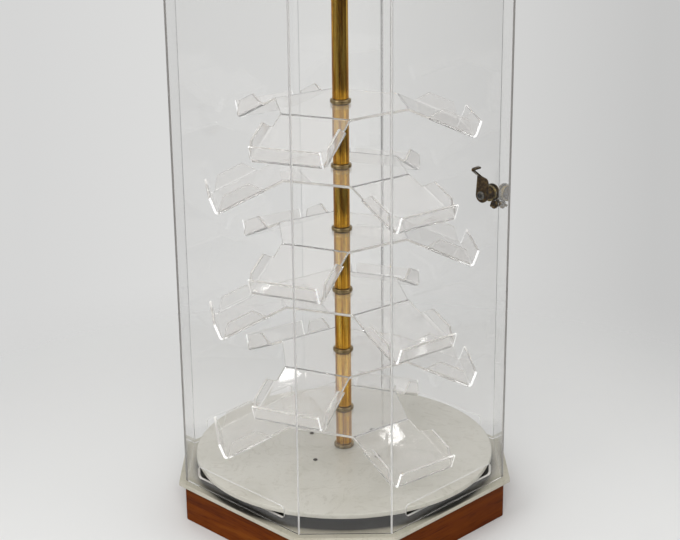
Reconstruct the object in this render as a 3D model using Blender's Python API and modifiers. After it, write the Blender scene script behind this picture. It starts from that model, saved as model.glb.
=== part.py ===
"""Rotating countertop display case.

A clear eight-sided case on a white plate with a wooden skirt. A white turntable disc carries a brass
pole with six tiers of bent acrylic trays, and its rim comes out through slots in the long walls, so it
is turned by hand. One long wall is a door on a continuous hinge, with a cam lock at its free edge.
Metres, +Z up, the origin at the middle of the footprint on the counter. The door is at the back (+Y).
"""
import math

import bmesh
import bpy
from mathutils import Matrix, Vector

# Footprint: a square with cut corners. The long sides face X and Y, the short ones cut its corners.
PLATE_HALF_WIDTH = 0.1505
CORNER_CUT = 0.0661
PLATE_THICKNESS = 0.0045

# Wooden skirt under the plate.
SKIRT_INSET = 0.0060
SKIRT_THICKNESS = 0.0120
SKIRT_HEIGHT = 0.0385

# Clear walls and top.
WALL_INSET = 0.0067
WALL_THICKNESS = 0.0030
WALL_HEIGHT = 0.5430
DOOR_GAP = 0.0010
TOP_THICKNESS = 0.0030

# Turntable disc and its ball bearing.
RIM_INSET = 0.0005
DISC_THICKNESS = 0.0050
DISC_EDGE_ROUND = 0.0010
BEARING_HEIGHT = 0.0109
RACE_THICKNESS = 0.0015
RACE_INNER_RADIUS = 0.0250
RACE_OUTER_RADIUS = 0.0520
RACE_LIP_HEIGHT = 0.0034
CAGE_THICKNESS = 0.0016
BALL_CIRCLE_RADIUS = 0.0340
BALL_COUNT = 10
SCREW_CIRCLE_RADIUS = 0.0445
SCREW_COUNT = 4
SCREW_RADIUS = 0.0018
SCREW_HEAD_RADIUS = 0.0036
SCREW_HEAD_HEIGHT = 0.0012
DISC_SCREW_TURN = math.radians(4)

# Slots in the long walls for the rim of the disc.
SLOT_LENGTH = 0.1240
SLOT_ABOVE_DISC = 0.0055
SLOT_BELOW_DISC = 0.0015
SLOT_CORNER_RADIUS = 0.0035

# Pole: a rod through brass tubes, with the tiers and brass rings clamped between them.
ROD_RADIUS = 0.0040
ROD_NUT_RADIUS = 0.0075
ROD_NUT_HEIGHT = 0.0050
TUBE_RADIUS = 0.0080
TUBE_WALL = 0.0015
RING_RADIUS = 0.0102
RING_HEIGHT = 0.0040
BUSH_RADIUS = 0.0080
BUSH_FLANGE_RADIUS = 0.0110
BUSH_FLANGE_HEIGHT = 0.0030

# Tiers of trays, counted from the top. Each tier is one bent acrylic sheet with equal arms.
TIER_COUNT = 6
TIER_PITCH = 0.0635
TRAY_ABOVE_DISC = 0.0107
TOP_TIER_TURN = math.radians(52)
ODD_TIER_TURN = math.radians(49.7)
EVEN_TIER_TURN = math.radians(113)
ARM_COUNT = 3
SHEET_THICKNESS = 0.0025
HUB_APOTHEM = 0.0580
ARM_HALF_WIDTH = 0.0344
ARM_SLOPE = math.radians(24.5)
ARM_BEND_RADIUS = 0.0050
NECK_LENGTH = 0.0178
TRAY_END_FROM_WALL = 0.0202
WING_HEIGHT = 0.0137
WING_INNER_SLANT = 0.0110
WING_OUTER_SLANT = 0.0110
WING_BEND_RADIUS = 0.0030
LIP_HEIGHT = 0.0138
LIP_BEND_RADIUS = 0.0025
LIP_TURN = math.radians(95)

# Door hinge, at the corner between the door and the back left corner wall.
HINGE_OFFSET = 0.0030
KNUCKLE_RADIUS = 0.0020
KNUCKLE_COUNT = 5
HINGE_PIN_RADIUS = 0.0008
LEAF_WIDTH = 0.0120
LEAF_THICKNESS = 0.0010
LEAF_SETBACK = 0.0010

# Cam lock on the door, and the pull knob beside it.
LOCK_FROM_EDGE = 0.0105
LOCK_ABOVE_PLATE = 0.2705
LOCK_BARREL_RADIUS = 0.0060
LOCK_BARREL_REACH = 0.0120
LOCK_FLANGE_RADIUS = 0.0090
LOCK_FLANGE_HEIGHT = 0.0025
LOCK_PLUG_RADIUS = 0.0040
LOCK_NUT_RADIUS = 0.0083
LOCK_NUT_HEIGHT = 0.0030
KEYWAY_LENGTH = 0.0050
KEYWAY_WIDTH = 0.0012
KEYWAY_DEPTH = 0.0040
CAM_HALF_WIDTH = 0.0075
CAM_REACH = 0.0195
CAM_TIP_HALF_WIDTH = 0.0060
CAM_THICKNESS = 0.0018
HOOK_HALF_WIDTH = 0.0025
HOOK_RISE = 0.0080
HOOK_DEPTH = 0.0050
HOOK_TAB = 0.0045
CAM_SCREW_RADIUS = 0.0016
CAM_SCREW_HEAD_RADIUS = 0.0042
CAM_SCREW_HEAD_HEIGHT = 0.0020
CAM_SCREW_LENGTH = 0.0050
KNOB_BELOW_LOCK = 0.0110
KNOB_FROM_EDGE = 0.0045
KNOB_RADIUS = 0.0043
KNOB_HEIGHT = 0.0064
KNOB_NECK_RADIUS = 0.0018
KNOB_SHANK_RADIUS = 0.0013
KNOB_TAIL = 0.0070
KNOB_NUT_RADIUS = 0.0026
KNOB_NUT_HEIGHT = 0.0022

# Clearances.
SEAT_GAP = 0.0003
JOINT_TRIM = 0.0002
RUN_GAP = 0.0004

# Heights that follow from the sizes above.
PLATE_BOTTOM = SKIRT_HEIGHT + SEAT_GAP
PLATE_TOP = PLATE_BOTTOM + PLATE_THICKNESS
DISC_BOTTOM = PLATE_TOP + BEARING_HEIGHT + 2 * SEAT_GAP
DISC_TOP = DISC_BOTTOM + DISC_THICKNESS
WALL_BOTTOM = PLATE_TOP + SEAT_GAP
WALL_TOP = WALL_BOTTOM + WALL_HEIGHT
TOP_BOTTOM = WALL_TOP + SEAT_GAP
LOCK_Z = PLATE_TOP + LOCK_ABOVE_PLATE

# Plan sizes that follow: distances of the long and short sides from the middle, and the rim of the disc.
ROOT2 = math.sqrt(2)
PLATE_LONG_APOTHEM = PLATE_HALF_WIDTH
PLATE_SHORT_APOTHEM = (2 * PLATE_HALF_WIDTH - CORNER_CUT) / ROOT2
DISC_RADIUS = PLATE_HALF_WIDTH - RIM_INSET
WALL_LONG = PLATE_LONG_APOTHEM - WALL_INSET
WALL_SHORT = PLATE_SHORT_APOTHEM - WALL_INSET

# Tray floors end a set distance inside the long walls, and the lowest ones hang just over the disc.
tray_floor_reach = WALL_LONG - WALL_THICKNESS - TRAY_END_FROM_WALL - HUB_APOTHEM
tray_floor_length = (tray_floor_reach - ARM_BEND_RADIUS * math.sin(ARM_SLOPE)) / math.cos(ARM_SLOPE)
bend_drop = (ARM_BEND_RADIUS + LIP_BEND_RADIUS) * (1 - math.cos(ARM_SLOPE))
arm_drop = tray_floor_length * math.sin(ARM_SLOPE) + bend_drop + SHEET_THICKNESS / 2
LOWEST_TIER = DISC_TOP + TRAY_ABOVE_DISC + arm_drop
FACETS = ("right", "corner_back_right", "back", "corner_back_left",
          "left", "corner_front_left", "front", "corner_front_right")
DOOR_FACET = FACETS.index("back")


# Scene, materials and plain solids

for old in list(bpy.data.objects):
    bpy.data.objects.remove(old, do_unlink=True)

parts = bpy.data.collections.new("rotating_display_case")
cutters = bpy.data.collections.new("cutters")
bpy.context.scene.collection.children.link(parts)
bpy.context.scene.collection.children.link(cutters)


def finish(name, colour, roughness, metallic=0.0, transmission=0.0):
    """A Principled material for one kind of stock."""
    made = bpy.data.materials.new(name)
    made.use_nodes = True
    shader = made.node_tree.nodes["Principled BSDF"]
    shader.inputs["Base Color"].default_value = (*colour, 1.0)
    shader.inputs["Roughness"].default_value = roughness
    shader.inputs["Metallic"].default_value = metallic
    shader.inputs["Transmission Weight"].default_value = transmission
    return made


CLEAR = finish("clear_acrylic", (0.95, 0.96, 0.96), 0.03, transmission=1.0)
WHITE = finish("white_laminate", (0.80, 0.80, 0.77), 0.35)
WOOD = finish("walnut", (0.33, 0.13, 0.045), 0.40)
BRASS = finish("brass", (0.62, 0.42, 0.13), 0.25, metallic=1.0)
AGED_BRASS = finish("aged_brass", (0.30, 0.22, 0.10), 0.35, metallic=1.0)
STEEL = finish("zinc_steel", (0.62, 0.62, 0.62), 0.35, metallic=1.0)
NYLON = finish("nylon", (0.85, 0.84, 0.80), 0.45)


def place(name, mesh, stock, matrix=Matrix(), parent=None):
    """Link a mesh as a named piece of the case."""
    piece = bpy.data.objects.new(name, mesh)
    mesh.materials.append(stock)
    parts.objects.link(piece)
    if parent is not None:
        piece.parent = parent
        piece.matrix_parent_inverse = parent.matrix_world.inverted()
    piece.matrix_world = matrix
    return piece


def cutter(name, mesh, matrix=Matrix()):
    """Link a mesh as a hidden cutter."""
    tool = bpy.data.objects.new(name, mesh)
    cutters.objects.link(tool)
    tool.hide_render = True
    tool.display_type = "WIRE"
    tool.matrix_world = matrix
    return tool


def boolean(piece, tool, operation="DIFFERENCE"):
    """Cut or join a piece with another mesh."""
    step = piece.modifiers.new(operation.lower(), "BOOLEAN")
    step.operation = operation
    step.object = tool
    return step


def moving_frame(name, point):
    """An empty on a joint's axis, which carries the pieces that move there."""
    empty = bpy.data.objects.new(name, None)
    parts.objects.link(empty)
    empty.location = point
    bpy.context.view_layer.update()
    return empty


def joined(meshes):
    """One mesh that holds several separate bodies."""
    work = bmesh.new()
    for source, matrix in meshes:
        copy = source.copy()
        copy.transform(matrix)
        work.from_mesh(copy)
        bpy.data.meshes.remove(copy)
    mesh = bpy.data.meshes.new("group")
    work.to_mesh(mesh)
    work.free()
    return mesh


def extruded(loops, depth):
    """A flat outline, with any holes as further loops, made solid from z = 0 up to depth."""
    curve = bpy.data.curves.new("outline", "CURVE")
    curve.dimensions = "2D"
    curve.fill_mode = "BOTH"
    curve.extrude = depth / 2
    for loop in loops:
        spline = curve.splines.new("POLY")
        spline.points.add(len(loop) - 1)
        for point, (x, y) in zip(spline.points, loop):
            point.co = (x, y, 0, 1)
        spline.use_cyclic_u = True
    holder = bpy.data.objects.new("outline", curve)
    cutters.objects.link(holder)
    graph = bpy.context.evaluated_depsgraph_get()
    mesh = bpy.data.meshes.new_from_object(holder.evaluated_get(graph))
    bpy.data.objects.remove(holder)
    bpy.data.curves.remove(curve)
    work = bmesh.new()
    work.from_mesh(mesh)
    bmesh.ops.remove_doubles(work, verts=work.verts, dist=1e-6)
    bmesh.ops.recalc_face_normals(work, faces=work.faces)
    bmesh.ops.translate(work, verts=work.verts, vec=(0, 0, depth / 2))
    work.to_mesh(mesh)
    work.free()
    return mesh


def turned(profile, steps, smooth=True):
    """A closed (radius, height) loop turned about Z."""
    mesh = bpy.data.meshes.new("profile")
    count = len(profile)
    edges = [(i, (i + 1) % count) for i in range(count)]
    mesh.from_pydata([(r, 0, z) for r, z in profile], edges, [])
    holder = bpy.data.objects.new("profile", mesh)
    cutters.objects.link(holder)
    screw = holder.modifiers.new("turn", "SCREW")
    screw.steps = steps
    screw.render_steps = steps
    screw.use_merge_vertices = True
    screw.merge_threshold = 1e-6
    graph = bpy.context.evaluated_depsgraph_get()
    made = bpy.data.meshes.new_from_object(holder.evaluated_get(graph))
    bpy.data.objects.remove(holder)
    bpy.data.meshes.remove(mesh)
    work = bmesh.new()
    work.from_mesh(made)
    bmesh.ops.recalc_face_normals(work, faces=work.faces)
    work.to_mesh(made)
    work.free()
    if smooth:
        made.shade_smooth()
        made.set_sharp_from_angle(angle=math.radians(35))
    return made


def ring(inner, outer, low, high, steps):
    """A plain turned ring or tube."""
    return turned([(inner, high), (outer, high), (outer, low), (inner, low)], steps)


def rod(radius, low, high, steps):
    """A solid round bar along Z."""
    work = bmesh.new()
    bmesh.ops.create_cone(work, cap_ends=True, segments=steps, radius1=radius, radius2=radius,
                          depth=high - low)
    bmesh.ops.translate(work, verts=work.verts, vec=(0, 0, (low + high) / 2))
    mesh = bpy.data.meshes.new("rod")
    work.to_mesh(mesh)
    work.free()
    mesh.shade_smooth()
    mesh.set_sharp_from_angle(angle=math.radians(35))
    return mesh


def circle(radius, count, centre=(0.0, 0.0), turn=0.0):
    """Points round a circle."""
    points = []
    for i in range(count):
        angle = turn + 2 * math.pi * i / count
        points.append((centre[0] + radius * math.cos(angle), centre[1] + radius * math.sin(angle)))
    return points


def on_circle(radius, count, turn):
    """Translations to evenly spaced places on a circle."""
    return [Matrix.Translation((x, y, 0)) for x, y in circle(radius, count, turn=turn)]


# The eight-sided outline

def octagon(long_apothem, short_apothem):
    """The eight corners, each between one side and the next, from the right side round."""
    near = ROOT2 * short_apothem - long_apothem
    quarter = [(long_apothem, near), (near, long_apothem)]
    corners = []
    for _ in range(4):
        corners += quarter
        quarter = [(-y, x) for x, y in quarter]
    return corners


def facet_half(k, long_apothem, short_apothem):
    """Half the length of side k."""
    if k % 2:
        return ROOT2 * long_apothem - short_apothem
    return ROOT2 * short_apothem - long_apothem


def facet_matrix(k, distance, along=0.0, height=0.0):
    """A frame on side k: X along the side, Y up and Z outwards."""
    angle = k * math.pi / 4
    outward = Vector((math.cos(angle), math.sin(angle), 0))
    side = Vector((-math.sin(angle), math.cos(angle), 0))
    up = Vector((0, 0, 1))
    matrix = Matrix((side, up, outward)).transposed().to_4x4()
    matrix.translation = outward * distance + side * along + up * height
    return matrix


def facet_board(k, long_apothem, short_apothem, thickness, height):
    """A mitred board for side k, standing from z = 0, in world plan."""
    distance = short_apothem if k % 2 else long_apothem
    outer = facet_half(k, long_apothem, short_apothem) - JOINT_TRIM
    inner = facet_half(k, long_apothem - thickness, short_apothem - thickness) - JOINT_TRIM
    angle = k * math.pi / 4
    turn = Matrix.Rotation(angle, 2)
    loop = [(distance, -outer), (distance, outer),
            (distance - thickness, inner), (distance - thickness, -inner)]
    return extruded([[tuple(turn @ Vector(p)) for p in loop]], height)


# Base: plate and skirt boards

plate = place("base_plate", extruded([octagon(PLATE_LONG_APOTHEM, PLATE_SHORT_APOTHEM)], PLATE_THICKNESS),
              WHITE, Matrix.Translation((0, 0, PLATE_BOTTOM)))

skirt_long = PLATE_LONG_APOTHEM - SKIRT_INSET
skirt_short = PLATE_SHORT_APOTHEM - SKIRT_INSET
for k, side_name in enumerate(FACETS):
    board = facet_board(k, skirt_long, skirt_short, SKIRT_THICKNESS, SKIRT_HEIGHT)
    place("skirt_" + side_name, board, WOOD)


# Turntable bearing: two pressed races with a ring of balls

turntable = moving_frame("turntable_axis", (0, 0, PLATE_TOP))

lower_seat = PLATE_TOP + SEAT_GAP
upper_seat = DISC_BOTTOM - SEAT_GAP
ball_radius = (BEARING_HEIGHT - 2 * RACE_THICKNESS) / 2 - SEAT_GAP
lip_inner = BALL_CIRCLE_RADIUS - ball_radius - SEAT_GAP
lip_outer = BALL_CIRCLE_RADIUS + ball_radius + SEAT_GAP


def race(sign):
    """A flat race with two raised lips that hold the balls in line; sign is the way the lips face."""
    base = [(RACE_INNER_RADIUS, 0), (RACE_OUTER_RADIUS, 0), (RACE_OUTER_RADIUS, RACE_THICKNESS)]
    lips = []
    for near, far in ((lip_outer + RACE_THICKNESS, lip_outer), (lip_inner, lip_inner - RACE_THICKNESS)):
        lips += [(near, RACE_THICKNESS), (near, RACE_LIP_HEIGHT),
                 (far, RACE_LIP_HEIGHT), (far, RACE_THICKNESS)]
    loop = base + lips + [(RACE_INNER_RADIUS, RACE_THICKNESS)]
    return turned([(r, sign * z) for r, z in loop], 24)


lower_race = place("bearing_lower_race", race(1), STEEL, Matrix.Translation((0, 0, lower_seat)))
upper_race = place("bearing_upper_race", race(-1), STEEL, Matrix.Translation((0, 0, upper_seat)), turntable)

# The cage is a flat ring that carries the balls between the races.
cage_half = ball_radius * 0.6
cage = place("bearing_ball_cage", ring(BALL_CIRCLE_RADIUS - cage_half, BALL_CIRCLE_RADIUS + cage_half,
                                       -CAGE_THICKNESS / 2, CAGE_THICKNESS / 2, 20),
             STEEL, Matrix.Translation((0, 0, (lower_seat + upper_seat) / 2)))
ball_work = bmesh.new()
bmesh.ops.create_uvsphere(ball_work, u_segments=8, v_segments=6, radius=ball_radius)
ball = bpy.data.meshes.new("ball")
ball_work.to_mesh(ball)
ball_work.free()
ball.shade_smooth()
balls = joined([(ball, spot) for spot in on_circle(BALL_CIRCLE_RADIUS, BALL_COUNT, 0)])
boolean(cage, cutter("balls", balls, cage.matrix_world.copy()), "UNION")


def screw_mesh(length):
    """A pan head screw with its head's underside at z = 0 and its shank below."""
    return turned([(0, SCREW_HEAD_HEIGHT), (SCREW_HEAD_RADIUS * 0.7, SCREW_HEAD_HEIGHT),
                   (SCREW_HEAD_RADIUS, SCREW_HEAD_HEIGHT * 0.4), (SCREW_HEAD_RADIUS, 0),
                   (SCREW_RADIUS, 0), (SCREW_RADIUS, -length), (0, -length)], 10)


def screw_holes(name, depth, turn, top):
    """Clearance holes for a ring of screws."""
    hole = rod(SCREW_RADIUS + SEAT_GAP, -depth, SEAT_GAP, 10)
    spots = on_circle(SCREW_CIRCLE_RADIUS, SCREW_COUNT, turn)
    return cutter(name, joined([(hole, spot) for spot in spots]), Matrix.Translation((0, 0, top)))


# Turntable disc, with its rim rounded over, and the screws that hold it to the upper race

rim_arc = []
for i in range(3):
    angle = math.radians(90 - 45 * i)
    rim_arc.append((DISC_RADIUS - DISC_EDGE_ROUND + DISC_EDGE_ROUND * math.cos(angle),
                    DISC_THICKNESS - DISC_EDGE_ROUND + DISC_EDGE_ROUND * math.sin(angle)))
disc_bore = ROD_RADIUS + SEAT_GAP
disc_profile = [(disc_bore, DISC_THICKNESS)] + rim_arc + [(DISC_RADIUS, 0), (disc_bore, 0)]
disc = place("turntable_disc", turned(disc_profile, 80), WHITE,
             Matrix.Translation((0, 0, DISC_BOTTOM)), turntable)

disc_screw_length = DISC_THICKNESS + RACE_THICKNESS + 2 * SEAT_GAP
disc_holes = screw_holes("disc_screw_holes", disc_screw_length + SEAT_GAP, DISC_SCREW_TURN, DISC_TOP)
boolean(disc, disc_holes)
boolean(upper_race, disc_holes)
for i, spot in enumerate(on_circle(SCREW_CIRCLE_RADIUS, SCREW_COUNT, DISC_SCREW_TURN)):
    place("disc_screw_%d" % (i + 1), screw_mesh(disc_screw_length), STEEL,
          Matrix.Translation((0, 0, DISC_TOP + SEAT_GAP)) @ spot, turntable)


# Pole: rod, nut, brass rings and tubes

rod_bottom = DISC_BOTTOM - SEAT_GAP - ROD_NUT_HEIGHT - SEAT_GAP
rod_top = TOP_BOTTOM + TOP_THICKNESS
place("pole_rod", rod(ROD_RADIUS, rod_bottom, rod_top, 16), STEEL, parent=turntable)
nut_loops = [circle(ROD_NUT_RADIUS, 6), circle(ROD_RADIUS + SEAT_GAP, 16)]
place("rod_nut", extruded(nut_loops, ROD_NUT_HEIGHT), STEEL,
      Matrix.Translation((0, 0, DISC_BOTTOM - SEAT_GAP - ROD_NUT_HEIGHT)), turntable)

tube_bore = TUBE_RADIUS - TUBE_WALL
clear_bore = ROD_RADIUS + SEAT_GAP
ring_edge = RING_HEIGHT / 4
ring_profile = [(clear_bore, RING_HEIGHT), (RING_RADIUS - ring_edge, RING_HEIGHT),
                (RING_RADIUS, RING_HEIGHT - ring_edge), (RING_RADIUS, ring_edge),
                (RING_RADIUS - ring_edge, 0), (clear_bore, 0)]


def pole_ring(name, low):
    """A brass ring on the rod, with its underside at the given height."""
    place(name, turned(ring_profile, 24), AGED_BRASS, Matrix.Translation((0, 0, low)), turntable)


def pole_tube(name, low, high):
    """A brass spacer tube between two heights."""
    tube = ring(tube_bore, TUBE_RADIUS, 0, high - low, 24)
    place(name, tube, BRASS, Matrix.Translation((0, 0, low)), turntable)


def tier_middle(tier):
    """Height of the middle of the sheet of a tier, with tier 1 at the top."""
    return LOWEST_TIER + (TIER_COUNT - tier) * TIER_PITCH


foot_low = DISC_TOP + SEAT_GAP
pole_ring("pole_foot_ring", foot_low)
tube_low = foot_low + RING_HEIGHT + SEAT_GAP
for tier in range(TIER_COUNT, 0, -1):
    sheet_low = tier_middle(tier) - SHEET_THICKNESS / 2
    pole_tube("pole_tube_%d" % tier, tube_low, sheet_low - SEAT_GAP)
    ring_low = sheet_low + SHEET_THICKNESS + SEAT_GAP
    pole_ring("pole_ring_%d" % tier, ring_low)
    tube_low = ring_low + RING_HEIGHT + SEAT_GAP
bush_low = TOP_BOTTOM - SEAT_GAP - BUSH_FLANGE_HEIGHT
pole_tube("pole_tube_top", tube_low, bush_low - RUN_GAP)


# Tiers: a flat hub with arms bent down, side wings bent up and a lip bent up at the end of each arm

def arm_path():
    """Stations (reach, drop, direction) along an arm, and the rows where its wings start and end."""
    stations = []
    x, z, heading = HUB_APOTHEM, 0.0, 0.0

    def turn_by(angle, radius, steps):
        nonlocal x, z, heading
        for _ in range(steps):
            chord = 2 * radius * math.sin(abs(angle) / steps / 2)
            heading += angle / steps / 2
            x += chord * math.cos(heading)
            z += chord * math.sin(heading)
            heading += angle / steps / 2
            stations.append((x, z, heading))

    def run(length):
        nonlocal x, z
        x += length * math.cos(heading)
        z += length * math.sin(heading)
        stations.append((x, z, heading))

    turn_by(-ARM_SLOPE, ARM_BEND_RADIUS, 2)
    run(NECK_LENGTH)
    wing_start = len(stations)
    run(tray_floor_length - NECK_LENGTH)
    wing_end = len(stations)
    turn_by(LIP_TURN, LIP_BEND_RADIUS, 3)
    run(LIP_HEIGHT)
    return stations, wing_start, wing_end


def add_arm(work, hub_edge, turn):
    """Add one arm's strip, wings and lip to the sheet, starting from its edge on the hub."""
    outward = Vector((math.cos(turn), math.sin(turn), 0))
    side = Vector((-math.sin(turn), math.cos(turn), 0))
    stations, wing_start, wing_end = arm_path()
    rows = [hub_edge]
    for reach, drop, _ in stations:
        middle = outward * reach + Vector((0, 0, drop))
        rows.append([work.verts.new(middle + side * y) for y in (-ARM_HALF_WIDTH, 0, ARM_HALF_WIDTH)])
    for first, second in zip(rows, rows[1:]):
        for i in range(2):
            work.faces.new((first[i], second[i], second[i + 1], first[i + 1]))
    heading = stations[wing_end - 1][2]
    along = outward * math.cos(heading) + Vector((0, 0, math.sin(heading)))
    normal = along.cross(side) * -1
    if normal.z < 0:
        normal.negate()
    for column, sign in ((0, -1), (2, 1)):
        low = [rows[wing_start][column], rows[wing_end][column]]
        start = low[0].co.copy()
        end = low[1].co.copy()
        section = []
        for i in range(1, 3):
            angle = math.pi / 4 * i
            section.append((WING_BEND_RADIUS * math.sin(angle), WING_BEND_RADIUS * (1 - math.cos(angle))))
        section.append((WING_BEND_RADIUS, WING_HEIGHT))
        for out, high in section:
            share = high / WING_HEIGHT
            lift = side * (sign * out) + normal * high
            upper = [work.verts.new(start + lift + along * (WING_INNER_SLANT * share)),
                     work.verts.new(end + lift - along * (WING_OUTER_SLANT * share))]
            loop = (low[0], low[1], upper[1], upper[0])
            work.faces.new(loop if sign < 0 else loop[::-1])
            low = upper


def tier_sheet(turn):
    """The open surface of one tier, midway through its thickness."""
    work = bmesh.new()
    outer = []
    hub_edges = []
    for i in range(ARM_COUNT):
        angle = turn + 2 * math.pi * i / ARM_COUNT
        outward = Vector((math.cos(angle), math.sin(angle), 0))
        side = Vector((-math.sin(angle), math.cos(angle), 0))
        across = (-ARM_HALF_WIDTH, 0, ARM_HALF_WIDTH)
        edge = [work.verts.new(outward * HUB_APOTHEM + side * y) for y in across]
        hub_edges.append((edge, angle))
        outer += edge
    bore = [work.verts.new((x, y, 0)) for x, y in circle(clear_bore, 18, turn=turn)]
    edges = []
    for loop in (outer, bore):
        for first, second in zip(loop, loop[1:] + loop[:1]):
            edges.append(work.edges.new((first, second)))
    bmesh.ops.triangle_fill(work, edges=edges, use_beauty=True, use_dissolve=False)
    for edge, angle in hub_edges:
        add_arm(work, edge, angle)
    bmesh.ops.recalc_face_normals(work, faces=work.faces)
    if max(work.faces, key=lambda face: face.calc_area()).normal.z < 0:
        bmesh.ops.reverse_faces(work, faces=work.faces)
    mesh = bpy.data.meshes.new("tier_sheet")
    work.to_mesh(mesh)
    work.free()
    return mesh


def tier_turn(tier):
    """The way the first arm of a tier points. Tiers alternate, and the top one is set on its own."""
    if tier == 1:
        return TOP_TIER_TURN
    return ODD_TIER_TURN if tier % 2 else EVEN_TIER_TURN


for tier in range(1, TIER_COUNT + 1):
    sheet = place("tray_tier_%d" % tier, tier_sheet(tier_turn(tier)), CLEAR,
                  Matrix.Translation((0, 0, tier_middle(tier))), turntable)
    shell = sheet.modifiers.new("thickness", "SOLIDIFY")
    shell.thickness = SHEET_THICKNESS
    shell.offset = 0
    shell.use_even_offset = True


# Walls, with a slot for the disc in each long one

def rounded_slot(length, height, radius):
    """A rectangle with rounded corners, centred."""
    loop = []
    for sx, sy, start in ((1, 1, 0), (-1, 1, 90), (-1, -1, 180), (1, -1, 270)):
        centre = (sx * (length / 2 - radius), sy * (height / 2 - radius))
        for i in range(4):
            angle = math.radians(start + 30 * i)
            loop.append((centre[0] + radius * math.cos(angle), centre[1] + radius * math.sin(angle)))
    return loop


corner = Vector(octagon(WALL_LONG, WALL_SHORT)[DOOR_FACET])
bisector = math.radians(22.5) + DOOR_FACET * math.pi / 4
hinge_point = corner + HINGE_OFFSET * Vector((math.cos(bisector), math.sin(bisector)))
door_frame = moving_frame("door_axis", (hinge_point.x, hinge_point.y, WALL_BOTTOM))

slot_low = DISC_BOTTOM - SLOT_BELOW_DISC
slot_high = DISC_TOP + SLOT_ABOVE_DISC
slot_middle = (slot_low + slot_high) / 2
walls = {}
for k, side_name in enumerate(FACETS):
    is_door = k == DOOR_FACET
    gap = DOOR_GAP if is_door else 0.0
    height = WALL_HEIGHT - 2 * gap
    low = WALL_BOTTOM + gap
    wall = facet_board(k, WALL_LONG, WALL_SHORT, WALL_THICKNESS, height)
    name = "door_panel" if is_door else "wall_" + side_name
    parent = door_frame if is_door else None
    walls[side_name] = place(name, wall, CLEAR, Matrix.Translation((0, 0, low)), parent)
    if k % 2 == 0:
        outline = rounded_slot(SLOT_LENGTH, slot_high - slot_low, SLOT_CORNER_RADIUS)
        slot = extruded([outline], 3 * WALL_THICKNESS)
        behind = facet_matrix(k, WALL_LONG - 2 * WALL_THICKNESS, 0, slot_middle)
        tool = cutter("slot_" + side_name, slot, behind)
        boolean(walls[side_name], tool)

# The top sheet covers the walls, with the pole's bush in the middle.
top_loops = [octagon(WALL_LONG, WALL_SHORT), circle(BUSH_RADIUS + SEAT_GAP, 24)]
place("top_sheet", extruded(top_loops, TOP_THICKNESS), CLEAR, Matrix.Translation((0, 0, TOP_BOTTOM)))
bush_bore = ROD_RADIUS + RUN_GAP
bush_top = TOP_BOTTOM + TOP_THICKNESS
bush_seat = TOP_BOTTOM - SEAT_GAP
bush_profile = [(bush_bore, bush_top), (BUSH_RADIUS, bush_top), (BUSH_RADIUS, bush_seat),
                (BUSH_FLANGE_RADIUS, bush_seat), (BUSH_FLANGE_RADIUS, bush_low), (bush_bore, bush_low)]
place("top_bush", turned(bush_profile, 24), NYLON)


# Continuous hinge: two leaves with alternate knuckles on one pin

def hinge_leaf(name, k, knuckles, parent):
    """A leaf on the outside of wall k, whose corner with the other leaf is at the hinge pin."""
    is_door = k == DOOR_FACET
    distance = WALL_SHORT if k % 2 else WALL_LONG
    half = facet_half(k, WALL_LONG, WALL_SHORT)
    toward = -1 if is_door else 1
    edge = -toward * half
    frame = facet_matrix(k, distance + SEAT_GAP, edge, 0)
    base = [(toward * LEAF_SETBACK, 0), (toward * (LEAF_SETBACK + LEAF_WIDTH), 0)]
    plan = base + [(x, LEAF_THICKNESS) for x, _ in reversed(base)]

    def upright(loop, low, high):
        mesh = extruded([loop], high - low)
        stand = Matrix.Translation((frame.translation.x, frame.translation.y, low))
        turn = Matrix((frame.col[0], frame.col[2], (0, 0, 1, 0), (0, 0, 0, 1))).transposed()
        work = bmesh.new()
        work.from_mesh(mesh)
        bmesh.ops.transform(work, matrix=stand @ turn, verts=work.verts)
        bmesh.ops.recalc_face_normals(work, faces=work.faces)
        work.to_mesh(mesh)
        work.free()
        return mesh

    leaf = place(name, upright(plan, WALL_BOTTOM + DOOR_GAP, WALL_TOP - DOOR_GAP), CLEAR, parent=parent)
    pin_local = frame.inverted() @ Vector((hinge_point.x, hinge_point.y, 0))
    length = (WALL_HEIGHT - 2 * DOOR_GAP) / KNUCKLE_COUNT
    webs = []
    barrels = []
    for i in knuckles:
        low = WALL_BOTTOM + DOOR_GAP + i * length + RUN_GAP / 2
        high = low + length - RUN_GAP
        reach = toward * (LEAF_SETBACK + LEAF_THICKNESS)
        web = [(pin_local.x, pin_local.z - KNUCKLE_RADIUS * 0.6), (reach, LEAF_THICKNESS * 0.1),
               (reach, LEAF_THICKNESS * 0.9), (pin_local.x, pin_local.z)]
        webs.append((upright(web, low, high), Matrix()))
        spot = Matrix.Translation((hinge_point.x, hinge_point.y, 0))
        barrels.append((rod(KNUCKLE_RADIUS, low, high, 16), spot))
    boolean(leaf, cutter(name + "_webs", joined(webs)), "UNION")
    boolean(leaf, cutter(name + "_barrels", joined(barrels)), "UNION")
    bore = rod(HINGE_PIN_RADIUS + SEAT_GAP, WALL_BOTTOM - RUN_GAP, WALL_TOP + RUN_GAP, 12)
    boolean(leaf, cutter(name + "_bore", bore, Matrix.Translation((hinge_point.x, hinge_point.y, 0))))
    return leaf


hinge_leaf("hinge_leaf_wall", DOOR_FACET + 1, range(0, KNUCKLE_COUNT, 2), None)
hinge_leaf("hinge_leaf_door", DOOR_FACET, range(1, KNUCKLE_COUNT, 2), door_frame)
place("hinge_pin", rod(HINGE_PIN_RADIUS, WALL_BOTTOM + DOOR_GAP, WALL_TOP - DOOR_GAP, 12), STEEL,
      Matrix.Translation((hinge_point.x, hinge_point.y, 0)))


# Cam lock in the door: barrel, nut, plug with its keyway, cam and screw

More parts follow.
